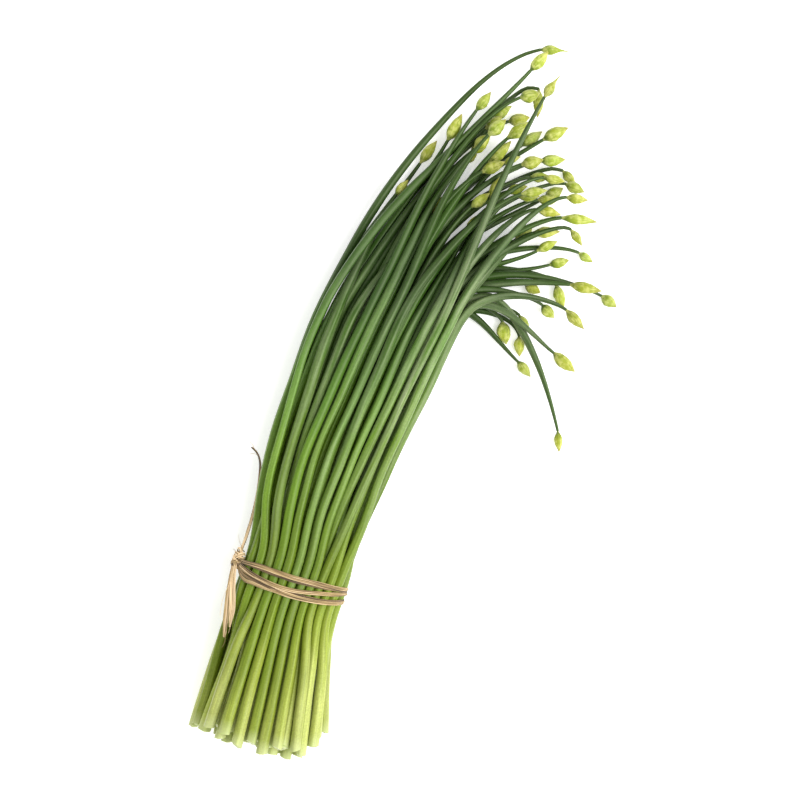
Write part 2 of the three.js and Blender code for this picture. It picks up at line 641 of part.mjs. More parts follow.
function namedMesh(name, geometry, colour, roughness) {
  const material = new THREE.MeshStandardMaterial({ color: colour, roughness, metalness: 0 });
  const mesh = new THREE.Mesh(geometry, material);
  mesh.name = name;
  return mesh;
}

const headsByLayer = LAYERS.map((count, layer) => headsOfLayer(layer, count));
const routes = placesInTie().map((place) => routeOf(place, headsByLayer[place.layer][place.order]));
const tightest = settle(routes);
const pressed = tightest - CLEARANCE;
if (pressed > 0) throw new Error(`two stalks press ${pressed.toFixed(2)} mm into each other`);

const bunch = new THREE.Group();
routes.forEach((nodes, i) => {
  const name = `flower_stalk_${String(i + 1).padStart(2, '0')}`;
  bunch.add(namedMesh(name, stalkGeometry(nodes), COLOURS.stalk, 0.45));
});
bunch.add(namedMesh('raffia_tie', tieGeometry(), COLOURS.raffia, 0.8));

export default bunch;
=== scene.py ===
# %% [markdown]
# A bunch of flowering garlic chives.
# The bunch is 58 flower stalks, each with a closed bud, and one raffia tie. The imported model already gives
# every stalk its place, length and thickness, with six flat sides. This lesson keeps those places and gives
# each stalk a round, finely ridged stem, a plump veined bud and a fresh cut end, and it winds real strips
# of raffia round them.

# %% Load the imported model
import math
import random

import bpy
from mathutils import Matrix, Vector
from mathutils.noise import noise


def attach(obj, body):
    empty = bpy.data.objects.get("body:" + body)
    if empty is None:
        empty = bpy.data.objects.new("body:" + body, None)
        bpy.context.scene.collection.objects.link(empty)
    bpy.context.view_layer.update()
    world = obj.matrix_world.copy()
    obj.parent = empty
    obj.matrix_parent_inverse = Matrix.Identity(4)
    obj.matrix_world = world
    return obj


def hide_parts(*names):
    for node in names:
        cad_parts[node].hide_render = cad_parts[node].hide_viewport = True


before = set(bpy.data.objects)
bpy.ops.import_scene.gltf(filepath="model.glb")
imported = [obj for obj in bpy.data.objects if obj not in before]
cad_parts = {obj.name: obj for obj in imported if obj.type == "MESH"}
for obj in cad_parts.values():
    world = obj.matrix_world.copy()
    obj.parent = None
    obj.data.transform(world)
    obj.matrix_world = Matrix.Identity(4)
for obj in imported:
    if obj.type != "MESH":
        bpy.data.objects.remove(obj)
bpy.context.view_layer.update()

MM = 0.001  # Blender's metres in a millimetre

# %% [markdown]
# The camera.
# The photograph looks straight down on the bunch, which lies a little turned to the right. A camera has no
# need to copy that by turning the plants: it is turned itself, about its own line of sight. Its height
# comes from what the picture has to take in, 344 mm of table across the frame, and the angle of a 135 mm
# lens, which is long enough to keep the two ends of the bunch alike.

# %% The camera
PICTURE_TURN = math.radians(18)  # the bunch leans this far to the right in the picture
PICTURE_WIDTH = 344 * MM
PICTURE_CENTRE = Vector((19.7, 86.9, 20)) * MM
LENS, SENSOR = 135, 36  # in millimetres


def add_object(name, data):
    """A new object in the scene that shows this data."""
    item = bpy.data.objects.new(name, data)
    bpy.context.scene.collection.objects.link(item)
    return item


camera_data = bpy.data.cameras.new("camera")
camera_data.lens = LENS
camera_data.sensor_width = SENSOR
camera = add_object("camera", camera_data)
camera.location = PICTURE_CENTRE + Vector((0, 0, PICTURE_WIDTH * LENS / SENSOR))
camera.rotation_euler = (0, 0, PICTURE_TURN)
bpy.context.scene.camera = camera
print(f"the camera is {camera.location.z:.3f} m above the table")

# %% [markdown]
# The light.
# The plants lie in a white room full of soft light, so there is no hard shadow and the table looks almost
# white. A plain, strong white sky gives that softness and leaves the gaps between the stems dark. One broad
# lamp at the right adds the pale band that each waxy stem carries along its right side, and leaves its left
# side darker. A stem mirrors the lamp where its surface leans half way to it, so the lamp stands to the
# side of the bunch as well as above it.

# %% The light
BUNCH_MIDDLE = Vector((20, 80, 0)) * MM
LAMP_PLACE = Vector((0.66, 0.2, 0.88))  # in metres, as its width is
LAMP_WIDTH = 1.0
LAMP_POWER = 14  # in watts
ROOM_BRIGHTNESS = 0.84

lamp_data = bpy.data.lights.new("broad lamp at the right", "AREA")
lamp_data.shape = "DISK"
lamp_data.size = LAMP_WIDTH
lamp_data.energy = LAMP_POWER
lamp = add_object(lamp_data.name, lamp_data)
lamp.location = LAMP_PLACE
lamp.rotation_euler = (BUNCH_MIDDLE - LAMP_PLACE).to_track_quat("-Z", "Y").to_euler()

sky = bpy.data.worlds.new("white room")
sky.use_nodes = True
sky.node_tree.nodes["Background"].inputs["Color"].default_value = (1, 1, 1, 1)
sky.node_tree.nodes["Background"].inputs["Strength"].default_value = ROOM_BRIGHTNESS
bpy.context.scene.world = sky
bpy.context.scene.view_settings.view_transform = "Standard"
print(len(bpy.data.lights), "lamp and a white room")

# %% [markdown]
# Colours and nodes.
# Colours are written as the hex values that a paint program shows. Blender mixes light in linear values, so
# one function turns the first into the second. A second small function adds a shader node, sets it up and
# joins it to the nodes before it, so that a material reads as a short list of what it is made of.

# %% Colours and nodes
COLOUR_A, COLOUR_B, MIXED = 6, 7, 2  # the sockets of a Mix node that hold colours


def linear(colour):
    """An sRGB hex colour such as "8db33a" as the linear RGBA that a shader takes."""
    channels = [int(colour[i:i + 2], 16) / 255 for i in (0, 2, 4)]
    return tuple(c / 12.92 if c <= 0.04045 else ((c + 0.055) / 1.055) ** 2.4 for c in channels) + (1.0,)


def add_node(tree, kind, inputs=(), stops=(), out=0, **settings):
    """Adds a shader node with its settings and gives back one of its outputs. `inputs` gives each socket a
    value or an output to link, and `stops` are a colour ramp's places and hex colours, its two ends first."""
    node = tree.nodes.new("ShaderNode" + kind)
    for name, value in settings.items():
        setattr(node, name, value)
    for socket, value in dict(inputs).items():
        if isinstance(value, bpy.types.NodeSocket):
            tree.links.new(value, node.inputs[socket])
        else:
            node.inputs[socket].default_value = value
    for i, (place, colour) in enumerate(stops):
        elements = node.color_ramp.elements
        element = elements[i] if i < 2 else elements.new(place)
        element.position = place
        element.color = linear(colour)
    return node.outputs[out]


def new_material(name):
    """An empty material, and the tree that its nodes go into."""
    material = bpy.data.materials.new(name)
    material.use_nodes = True
    tree = material.node_tree
    tree.nodes.clear()
    return material, tree


def finish_material(tree, shader):
    surface = tree.nodes.new("ShaderNodeOutputMaterial").inputs["Surface"]
    tree.links.new(shader, surface)


print("pale green is", [round(c, 3) for c in linear("c8d878")])

# %% [markdown]
# The table.
# The table is matt white acrylic, as photographers use, with a little light coming up through it. That glow
# is what keeps the shadows beside the plants pale. A plain white with a faint grain is all that it needs
# otherwise.

# %% The table
TABLE_SIZE = 4.0  # metres across
TABLE_GLOW = 0.4
TABLE_GRAINS = 900.0  # in a metre


def lit_acrylic():
    material, tree = new_material("matt_white_acrylic")
    where = add_node(tree, "TexCoord", out="Object")
    grain = add_node(tree, "TexNoise", {"Vector": where, "Scale": TABLE_GRAINS})
    bump = add_node(tree, "Bump", {"Height": grain, "Strength": 0.05, "Distance": 0.1 * MM})
    finish_material(tree, add_node(tree, "BsdfPrincipled", {
        "Base Color": linear("fbfbfa"), "Roughness": 0.9, "Normal": bump,
        "Emission Color": linear("ffffff"), "Emission Strength": TABLE_GLOW,
    }))
    return material


bpy.ops.object.select_all(action="DESELECT")
bpy.ops.mesh.primitive_plane_add(size=TABLE_SIZE, location=(0, 0, 0))
table = bpy.context.object
table.name = "table"
table.data.materials.append(lit_acrylic())
print("the table is", table.dimensions.x, "m wide")

# %% [markdown]
# The skin of a stem.
# A chive's flower stalk is covered in a smooth, waxy skin with fine ridges along it. It is pale
# yellow-green where it was cut, because that end grew in the dark under its neighbours, and turns through
# grass green to a deep olive green at the top. Where the stems arch over it is darkest, and its bloom thins
# towards the neck: partly their own deep green, partly painted shade where the arching stems shade each
# other. The colour follows growth, not height or place, so each point of a stem carries a value called
# growth: 0 at the cut end, 1 at the neck of the bud, and 2 at the bud's tip. A second value, straight, is
# where the point would be if the stalk were pulled straight, which lets a pattern run along the stalk round
# every bend. Three more are alike all over a stalk and tell it from its neighbours: tone makes it yellower
# or bluer, light makes it paler or deeper, and the third is how thick its grey bloom is, which is rubbed off
# in streaks. That bloom is partly the real wax and partly a painted pale highlight, strong on a few stalks
# and faint on most. Stalks on the lamp's side, at the right, are given yellower tones and more bloom:
# painted light. The last few millimetres, at the cut, are painted paler: painted light, standing in for
# light that shines through the thin end.

# %% The skin of a stem
RIDGES = (0.55 * MM, 18 * MM)  # across and along; real ones are finer, and would not show
PATCHES = (4 * MM, 30 * MM)  # across and along, of skin that is a little older or younger than beside it
RUBBED_STREAKS = (1.6 * MM, 22 * MM)  # across and along
SPECK_SIZE = 0.7 * MM  # of the skin's pores, drawn many times too large
MOST_BLOOM_AND_HIGHLIGHT = 0.75  # how much of the skin's colour the thickest bloom hides; that bloom is partly real wax and partly a painted pale highlight
NECK_COLOUR = "324b19"  # where the stem's colours end and the bud's begin
# how far from the cut the painted light of the thin, translucent end reaches
PAINTED_GLOW_END = 0.02  # as growth
DEEPEST, PALEST = 0.76, 1.2  # what a stalk's light value can make of its lightness


def stalk_values(tree):
    """The values growth, straight and tone of a stalk's points, as sockets."""
    growth = add_node(tree, "Attribute", attribute_name="growth", out="Fac")
    straight = add_node(tree, "Attribute", attribute_name="straight", out="Vector")
    tone = add_node(tree, "Attribute", attribute_name="tone", out="Fac")
    return growth, straight, tone


def streaks_along(tree, straight, size, detail=2.0):
    """Noise in streaks of a size, which is their width across the stalk and their length along it."""
    across, along = size
    scale = (1 / across, 1 / across, 1 / along)
    scaled = add_node(tree, "VectorMath", {0: straight, 1: scale}, operation="MULTIPLY")
    return add_node(tree, "TexNoise", {"Vector": scaled, "Scale": 1.0, "Detail": detail})


def waxy_stem_skin():
    material, tree = new_material("waxy_green_stem_skin")
    growth, straight, tone = stalk_values(tree)
    shift = add_node(tree, "MapRange", {"Value": tone, "To Min": -0.1, "To Max": 0.1})
    patches = streaks_along(tree, straight, PATCHES)
    patch_shift = add_node(tree, "MapRange", {"Value": patches, "To Min": -0.08, "To Max": 0.08})
    shifted = add_node(tree, "Math", {0: growth, 1: shift}, operation="ADD")
    age = add_node(tree, "Math", {0: shifted, 1: patch_shift}, operation="ADD")
    # the darkest stop, at 0.75 where the stems arch over, is partly their own deep green and partly painted
    # shade where the arching stems shade each other
    colour = add_node(tree, "ValToRGB", {"Fac": age}, [
        (0.0, "acb460"), (1.0, NECK_COLOUR), (0.06, "8f9c3a"), (0.16, "6c8018"), (0.27, "5d7611"),
        (0.42, "5f801d"), (0.58, "4f7424"), (0.75, "284612"),
    ])
    # the grey bloom is partly the real wax and partly a painted pale highlight, strong on a few stalks and
    # faint on most
    wax_and_highlight = add_node(tree, "Attribute", attribute_name="wax_and_highlight", out="Fac")
    rubbed = add_node(tree, "MapRange", {
        "Value": streaks_along(tree, straight, RUBBED_STREAKS), "From Min": 0.3, "From Max": 0.6,
        "To Max": MOST_BLOOM_AND_HIGHLIGHT,
    })
    # the bloom thins towards the neck, partly as painted shade where the arching stems shade each other
    where_bloom_and_highlight = add_node(tree, "ValToRGB", {"Fac": age}, [
        (0.14, "000000"), (0.92, "3c3c3c"), (0.28, "989898"), (0.48, "ffffff"), (0.7, "f0f0f0"),
    ])
    thickness = add_node(tree, "Math", {0: where_bloom_and_highlight, 1: wax_and_highlight}, operation="MULTIPLY")
    bloom_and_highlight = add_node(tree, "Math", {0: thickness, 1: rubbed}, operation="MULTIPLY")
    with_bloom_and_highlight = add_node(tree, "Mix", {
        "Factor": bloom_and_highlight, COLOUR_A: colour, COLOUR_B: linear("929f77"),
    }, data_type="RGBA", out=MIXED)
    streaks = streaks_along(tree, straight, RIDGES)
    lightness = add_node(tree, "MapRange", {
        "Value": streaks, "From Min": 0.3, "From Max": 0.7, "To Min": 0.8, "To Max": 1.2,
    })
    specks = add_node(tree, "TexNoise", {"Vector": straight, "Scale": 1 / SPECK_SIZE, "Detail": 1.0})
    grain = add_node(tree, "MapRange", {
        "Value": specks, "From Min": 0.3, "From Max": 0.7, "To Min": 0.88, "To Max": 1.12,
    })
    light = add_node(tree, "Attribute", attribute_name="light", out="Fac")
    own_light = add_node(tree, "MapRange", {"Value": light, "To Min": DEEPEST, "To Max": PALEST})
    grained = add_node(tree, "Math", {0: lightness, 1: grain}, operation="MULTIPLY")
    value = add_node(tree, "Math", {0: grained, 1: own_light}, operation="MULTIPLY")
    streaked = add_node(tree, "HueSaturation", {"Color": with_bloom_and_highlight, "Value": value})
    # the last few millimetres are painted paler towards the cut: painted light, standing in for light that
    # shines through the thin end
    painted_end_glow = add_node(tree, "MapRange", {
        "Value": growth, "From Max": PAINTED_GLOW_END, "To Min": 0.6, "To Max": 0.0,
    })
    skin = add_node(tree, "Mix", {
        "Factor": painted_end_glow, COLOUR_A: streaked, COLOUR_B: linear("c2ca93"),
    }, data_type="RGBA", out=MIXED)
    bump = add_node(tree, "Bump", {"Height": streaks, "Strength": 0.35, "Distance": 0.1 * MM})
    finish_material(tree, add_node(tree, "BsdfPrincipled", {
        "Base Color": skin, "Roughness": 0.42, "IOR": 1.5,
        "Specular IOR Level": 0.42, "Specular Tint": linear("f4ffd8"),
        "Subsurface Weight": 0.08, "Subsurface Radius": (0.6, 1.0, 0.25), "Subsurface Scale": 1 * MM,
        "Normal": bump,
    }))
    return material


STEM_SKIN = waxy_stem_skin()
print("made", STEM_SKIN.name)

# %% [markdown]
# The cut end.
# Where the knife went through, the stalk shows a wet, pale pith with a greener rim. The distance from the
# middle of the stalk, which the value called straight gives, is enough to paint both.

# %% The cut end
PITH_REACH = 2.4 * MM  # from the middle of the stalk to its rim
PITH_PORE = 0.5 * MM


def fresh_cut_pith():
    material, tree = new_material("fresh_cut_pith")
    straight = stalk_values(tree)[1]
    across = add_node(tree, "VectorMath", {0: straight, 1: (1, 1, 0)}, operation="MULTIPLY")
    off_centre = add_node(tree, "VectorMath", {0: across}, operation="LENGTH", out="Value")
    share = add_node(tree, "MapRange", {"Value": off_centre, "From Max": PITH_REACH})
    pores = add_node(tree, "TexVoronoi", {"Vector": straight, "Scale": 1 / PITH_PORE})
    colour = add_node(tree, "ValToRGB", {"Fac": share}, [
        (0.0, "848f4e"), (1.0, "8da447"), (0.25, "b0b97b"), (0.6, "c3ca90"), (0.85, "aabb66"),
    ])
    bump = add_node(tree, "Bump", {"Height": pores, "Strength": 0.4, "Distance": 0.15 * MM})
    finish_material(tree, add_node(tree, "BsdfPrincipled", {
        "Base Color": colour, "Roughness": 0.3, "IOR": 1.4,
        "Subsurface Weight": 0.2, "Subsurface Radius": (0.8, 1.0, 0.4), "Subsurface Scale": 1 * MM,
        "Normal": bump,
    }))
    return material


CUT_PITH = fresh_cut_pith()
print("made", CUT_PITH.name)

# %% [markdown]
# The skin of a bud.
# The closed bud is wrapped in one papery leaf, the spathe. It is thin enough for light to pass into it, so
# it glows yellow-green. Fine veins run from its neck to its beak, and it is paler where the flowers inside
# press against it. The veins are stripes of the angle round the bud, so they draw together at both ends as
# real ones do. Noise bends them and lets them fade here and there, so that they aren't ruled lines.

# %% The skin of a bud
VEINS = 13.0  # round one bud
VEINS_BEND = 9.0  # radians of their stripes
VEINS_BEND_OVER = 3 * MM
VEINS_FADE = (1.8 * MM, 5 * MM)  # across and along
PALE_PATCH = 2.2 * MM
BUD_HUES = (0.485, 0.51)  # of the yellowest and the greenest bud, where 0.5 changes nothing
BUD_LIGHTS = (0.78, 1.05)  # of the deepest and the palest bud


def papery_bud_spathe():
    material, tree = new_material("papery_bud_spathe")
    growth, straight, tone = stalk_values(tree)
    parts = add_node(tree, "SeparateXYZ", {"Vector": straight}).node.outputs
    angle = add_node(tree, "Math", {0: parts["Y"], 1: parts["X"]}, operation="ARCTAN2")
    wander = add_node(tree, "TexNoise", {"Vector": straight, "Scale": 1 / VEINS_BEND_OVER, "Detail": 1.0})
    phase = add_node(tree, "Math", {0: wander, 1: VEINS_BEND}, operation="MULTIPLY")
    turns = add_node(tree, "Math", {0: angle, 1: VEINS, 2: phase}, operation="MULTIPLY_ADD")
    wave = add_node(tree, "Math", {0: turns}, operation="COSINE")
    veins = add_node(tree, "MapRange", {"Value": wave})
    along = add_node(tree, "Math", {0: growth, 1: 1.0}, operation="SUBTRACT")
    base = add_node(tree, "ValToRGB", {"Fac": along}, [
        (0.0, NECK_COLOUR), (1.0, "a89c4c"), (0.08, "50681a"), (0.2, "7f911e"), (0.45, "9caa29"),
        (0.75, "a4b034"),
    ])
    blotches = add_node(tree, "TexNoise", {"Vector": straight, "Scale": 1 / PALE_PATCH})
    pale_share = add_node(tree, "MapRange", {
        "Value": blotches, "From Min": 0.42, "From Max": 0.62, "To Max": 0.8,
    })
    pale = add_node(tree, "Mix", {
        "Factor": pale_share, COLOUR_A: base, COLOUR_B: linear("c8cd72"),
    }, data_type="RGBA", out=MIXED)
    fade = add_node(tree, "MapRange", {
        "Value": streaks_along(tree, straight, VEINS_FADE), "From Min": 0.4, "From Max": 0.6, "To Max": 0.6,
    })
    vein_share = add_node(tree, "Math", {0: veins, 1: fade}, operation="MULTIPLY")
    veined = add_node(tree, "Mix", {
        "Factor": vein_share, COLOUR_A: pale, COLOUR_B: linear("6f7d1a"),
    }, data_type="RGBA", out=MIXED)
    hue = add_node(tree, "MapRange", {"Value": tone, "To Min": BUD_HUES[0], "To Max": BUD_HUES[1]})
    light = add_node(tree, "Attribute", attribute_name="light", out="Fac")
    value = add_node(tree, "MapRange", {"Value": light, "To Min": BUD_LIGHTS[0], "To Max": BUD_LIGHTS[1]})
    toned = add_node(tree, "HueSaturation", {"Color": veined, "Hue": hue, "Value": value})
    bump = add_node(tree, "Bump", {"Height": veins, "Strength": 0.4, "Distance": 0.12 * MM})
    finish_material(tree, add_node(tree, "BsdfPrincipled", {
        "Base Color": toned, "Roughness": 0.5, "IOR": 1.4,
        "Sheen Weight": 0.1, "Sheen Roughness": 0.5,
        "Subsurface Weight": 0.3, "Subsurface Radius": (1.0, 1.0, 0.3), "Subsurface Scale": 1.5 * MM,
        "Normal": bump,
    }))
    return material


BUD_SKIN = papery_bud_spathe()
print("made", BUD_SKIN.name)

# %% [markdown]
# Raffia.
# Raffia is a dried strip of palm leaf, torn along its fibres. It is straw brown and dull, with fibres that
# run its whole length, lighter and darker. They are drawn three times as coarse as real ones, to show.

# %% The raffia's finish
FIBRES = (0.6 * MM, 25 * MM)  # across and along
BANDS = (1.2 * MM, 12 * MM)  # of fibres that are alike
FIBRE_SHARE = 3.2  # how many times as much a fibre's own shade counts as its band's
DARKEST, LIGHTEST = 2.0, 3.15  # sums of the fibre's share, the band's and the strip's tone


def dry_raffia():
    material, tree = new_material("dry_raffia_palm_fibre")
    straight, tone = stalk_values(tree)[1:]
    fibres = streaks_along(tree, straight, FIBRES, 3.0)
    bands = streaks_along(tree, straight, BANDS)
    mixed = add_node(tree, "Math", {0: fibres, 1: FIBRE_SHARE, 2: bands}, operation="MULTIPLY_ADD")
    toned = add_node(tree, "Math", {0: mixed, 1: tone}, operation="ADD")
    share = add_node(tree, "MapRange", {"Value": toned, "From Min": DARKEST, "From Max": LIGHTEST})
    colour = add_node(tree, "ValToRGB", {"Fac": share}, [
        (0.0, "3d2f1c"), (1.0, "efd2a8"), (0.3, "7c6341"), (0.62, "b09664"),
    ])
    bump = add_node(tree, "Bump", {"Height": fibres, "Strength": 1.0, "Distance": 0.3 * MM})
    finish_material(tree, add_node(tree, "BsdfPrincipled", {
        "Base Color": colour, "Roughness": 0.75, "IOR": 1.5,
        "Sheen Weight": 0.15, "Sheen Roughness": 0.5, "Normal": bump,
    }))
    return material


RAFFIA = dry_raffia()
print("made", RAFFIA.name)

# %% [markdown]
# Reading a stalk's line.
# The model's stalks are six-sided tubes. Their middle line and thickness are what the fine stalks follow,
# so nothing has to be placed twice. A copy of the mesh is merged first, because the model's triangles come
# loose. Counting steps from the tip of the bud, corner by corner, the corners that are equally far away
# form the rings.

# %% Reading a stalk's line
BUD_RINGS = 5  # of a model's stalk, with the tip
TOUCHING = 0.001 * MM  # corners closer than this are one


def select_only(*objects):
    """Selects these objects alone, and makes the first one active."""
    bpy.ops.object.select_all(action="DESELECT")
    for item in objects:
        item.select_set(True)
    bpy.context.view_layer.objects.active = objects[0]


def merged_copy(node):
    copy = add_object("copy", node.data.copy())
    select_only(copy)
    bpy.ops.object.mode_set(mode="EDIT")
    bpy.ops.mesh.select_all(action="SELECT")
    bpy.ops.mesh.remove_doubles(threshold=TOUCHING)
    bpy.ops.object.mode_set(mode="OBJECT")
    return copy


def steps_from(start, neighbours):
    """The corners in order of their distance from one corner: a list of sets, one for each step."""
    reached = {start}
    steps = [{start}]
    while steps[-1]:
        beyond = {n for corner in steps[-1] for n in neighbours[corner]} - reached
        reached |= beyond
        steps.append(beyond)
    return steps[:-1]


def rings_of(node):
    """The rings of a model's stalk from the cut end to the tip, each as (x, y, z, radius)."""
    copy = merged_copy(node)
    points = [vertex.co.copy() for vertex in copy.data.vertices]
    neighbours = [set() for _ in points]
    for edge in copy.data.edges:
        a, b = edge.vertices
        neighbours[a].add(b)
        neighbours[b].add(a)
    bpy.data.objects.remove(copy)
    lowest = min(range(len(points)), key=lambda i: points[i].y)
    tip = min(steps_from(lowest, neighbours)[-1])
    rings = []
    for step in reversed(steps_from(tip, neighbours)[:-1]):
        middle = sum((points[i] for i in step), Vector()) / len(step)
        radius = sum((points[i] - middle).length for i in step) / len(step)
        rings.append(Vector((*middle, radius)))
    return rings


stalk_nodes = sorted(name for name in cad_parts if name.startswith("flower_stalk_"))
stalk_rings = {name: rings_of(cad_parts[name]) for name in stalk_nodes}
print(len(stalk_rings), "stalks with", len(stalk_rings[stalk_nodes[0]]), "rings each")

# %% [markdown]
# A smooth line.
# A stem has no corners, so its line is a smooth curve through the rings' middles. A centripetal Catmull-Rom
# curve passes through every one of them and never overshoots where two of them are close together, as they
# are in the hook under a bud. The radius goes along as a fourth coordinate and is smoothed with the rest.

# %% A smooth line
SKIN_SPACING = 4 * MM  # between two rings of the fine stem
TINY = 1e-9  # keeps a division by it finite


def smooth_line(knots, spacing):
    """Points at most `spacing` apart on the smooth curve through the knots."""
    first = knots[0] * 2 - knots[1]
    last = knots[-1] * 2 - knots[-2]
    line = []
    for i in range(len(knots) - 1):
        p = [first if i == 0 else knots[i - 1], knots[i], knots[i + 1],
             last if i == len(knots) - 2 else knots[i + 2]]
        t = [0.0]
        for a, b in zip(p, p[1:]):
            t.append(t[-1] + max((b - a).length, TINY) ** 0.5)
        steps = max(2, math.ceil((p[2] - p[1]).length / spacing))
        for step in range(steps):
            now = t[1] + (t[2] - t[1]) * step / steps
            a = [p[k].lerp(p[k + 1], (now - t[k]) / (t[k + 1] - t[k])) for k in range(3)]
            b = [a[k].lerp(a[k + 1], (now - t[k]) / (t[k + 2] - t[k])) for k in range(2)]
            line.append(b[0].lerp(b[1], (now - t[1]) / (t[2] - t[1])))
    line.append(knots[-1].copy())
    return line


def lengths_along(line):
    """How far along the line each of its points lies."""
    lengths = [0.0]
    for a, b in zip(line, line[1:]):
        lengths.append(lengths[-1] + (b.to_3d() - a.to_3d()).length)
    return lengths


sample_line = smooth_line(stalk_rings[stalk_nodes[0]], SKIN_SPACING)
print("the first stalk is", round(lengths_along(sample_line)[-1] / MM), "mm long")

# %% [markdown]
# The section of a stem.
# A garlic chive's stem is not quite round. It has three to five soft keels with nearly flat faces between
# them, and each face catches the light as one long band, which twists slowly up the stem. A closed curve is
# the section: a polygon with its corners at the keels, drawn part of the way towards a circle. The stem is
# that section carried along the smooth line: the curve's bevel does it, with each point's radius and tilt.

# %% The section of a stem
SECTION_POINTS = 24


def stem_section(keels, flatness):
    """A section of 1 mm radius with flattened faces, as an object that a curve can use as its bevel."""
    data = bpy.data.curves.new(f"stem section with {keels} keels", "CURVE")
    spline = data.splines.new("POLY")
    spline.points.add(SECTION_POINTS - 1)
    spline.use_cyclic_u = True
    for i, point in enumerate(spline.points):
        angle = 2 * math.pi * i / SECTION_POINTS
        half_face = math.pi / keels
        polygon = math.cos(half_face) / math.cos(angle % (2 * half_face) - half_face)
        radius = MM * (1 + flatness * (polygon - (1 + math.cos(half_face)) / 2))
        point.co = (radius * math.cos(angle), radius * math.sin(angle), 0, 1)
    return add_object(data.name, data)


SECTIONS = [
    stem_section(keels=3, flatness=0.28), stem_section(keels=4, flatness=0.45),
    stem_section(keels=5, flatness=0.62),
]
print(len(SECTIONS), "stem sections")

# %% [markdown]
# A stem.
# The stems of a tied bunch press against each other, so at the tie the fine stem is a hair thicker than the
# model's and closes the gaps that the model leaves. Its thickness wavers a little along its length, and it
# wanders a little from side to side where the tie doesn't hold it. Above the tie some stems are slimmer
# than others, which opens dark gaps between them. Where they arch over they are all full, and they taper
# only close under the bud. Once the curve is a mesh, each of its points gets the values that the skin
# reads. Where a fresh stem or bud lies on the table it gives a little, so nothing reaches below the table's
# surface.

# %% A stem
PRESSED_OUT = 0.08 * MM
WAVERS, WAVER_LENGTH = 0.045, 25 * MM  # the first is a share of the thickness
WANDERS, WANDER_LENGTH = 0.8 * MM, 38 * MM
FREE_FROM_TIE = 40 * MM  # where a stem wanders fully
SLOW_TWIST = 1.2  # radians from the cut end to the neck
FULL_GREEN = 300 * MM  # from the ground, where a stem's colour is that of a full-grown one
NECK_NEARNESS = 6  # the power of the share of a stem's length at which its colour turns to the neck's
SLIM_NECK, TAPERING = 0.32, 10  # the second is the power of the share of its length at which a stem tapers
SLIMMEST = 0.24  # how much thinner than the model's the slimmest stem is above the tie
SLIM_FROM, SLIM_BY = 5 * MM, 60 * MM  # along the bunch
ARCH_FROM, ARCH_BY = 0.5, 0.68  # shares of the stem's length, between which it gets its fullness in the arch
ARCH_FULLNESS = 0.12  # how much thicker than the model's the stem is there

seeded = random.Random(11)


def set_values(mesh, growth, straight, **alike):
    """Writes the values of every point of a mesh. Those in `alike` are the same at all its points."""
    mesh.attributes.new("growth", "FLOAT", "POINT").data.foreach_set("value", growth)
    flat = [number for place in straight for number in place]
    mesh.attributes.new("straight", "FLOAT_VECTOR", "POINT").data.foreach_set("vector", flat)
    for name, value in alike.items():
        mesh.attributes.new(name, "FLOAT", "POINT").data.foreach_set("value", [value] * len(growth))


def growth_at(length, whole):
    """The growth at a length along a stem: its distance from the ground, which gives way to 1 at the neck."""
    near_neck = (length / whole) ** NECK_NEARNESS
    return (1 - near_neck) * length / FULL_GREEN + near_neck


def stem_along(name, line, section, character):
    """A stem along the line, from the cut end to the neck, open at both ends."""
    data = bpy.data.curves.new(name, "CURVE")
    data.dimensions = "3D"
    data.bevel_mode = "OBJECT"
    data.bevel_object = section
    spline = data.splines.new("POLY")
    spline.points.add(len(line) - 1)
    first_tilt = seeded.uniform(0, 2 * math.pi)
    slimness = seeded.uniform(0, SLIMMEST)
    lengths = lengths_along(line)
    for point, knot, length in zip(spline.points, line, lengths):
        waver = WAVERS * noise(Vector((length / WAVER_LENGTH, first_tilt, 0)))
        free = min(1, abs(knot.y) / FREE_FROM_TIE) * min(1, (lengths[-1] - length) / FREE_FROM_TIE)
        wander = WANDERS * free * noise(Vector((length / WANDER_LENGTH, 3, first_tilt)))
        above_tie = min(1, max(0, (knot.y - SLIM_FROM) / (SLIM_BY - SLIM_FROM)))
        share = length / lengths[-1]
        arched = min(1, max(0, (share - ARCH_FROM) / (ARCH_BY - ARCH_FROM)))
        fullness = ARCH_FULLNESS * arched - slimness * above_tie * (1 - arched)
        fullness -= SLIM_NECK * share ** TAPERING
        radius = (knot.w + PRESSED_OUT) * (1 + waver) * (1 + fullness)
        point.radius = radius / MM
        point.co = (knot.x + wander, knot.y, max(knot.z, radius), 1)
        point.tilt = first_tilt + SLOW_TWIST * share
    select_only(add_object(name, data))
    bpy.ops.object.convert(target="MESH")
    stem = bpy.context.object
    stem.data.name = name
    straight, growth = [], []
    for knot, length in zip(line, lengths):
        for i in range(SECTION_POINTS):
            angle = 2 * math.pi * i / SECTION_POINTS
            straight.append((knot.w * math.cos(angle), knot.w * math.sin(angle), length))
            growth.append(growth_at(length, lengths[-1]))
    set_values(stem.data, growth, straight, **character)
    stem.data.materials.append(STEM_SKIN)
    stem.data.materials.append(CUT_PITH)
    return stem, lengths[-1]


CUT_RIM = {"thickness": 0.2 * MM, "depth": 0.15 * MM}
PITH_EDGE = {"thickness": 0.3 * MM, "depth": -0.1 * MM}
DISH_SLOPE = 0.7 * MM


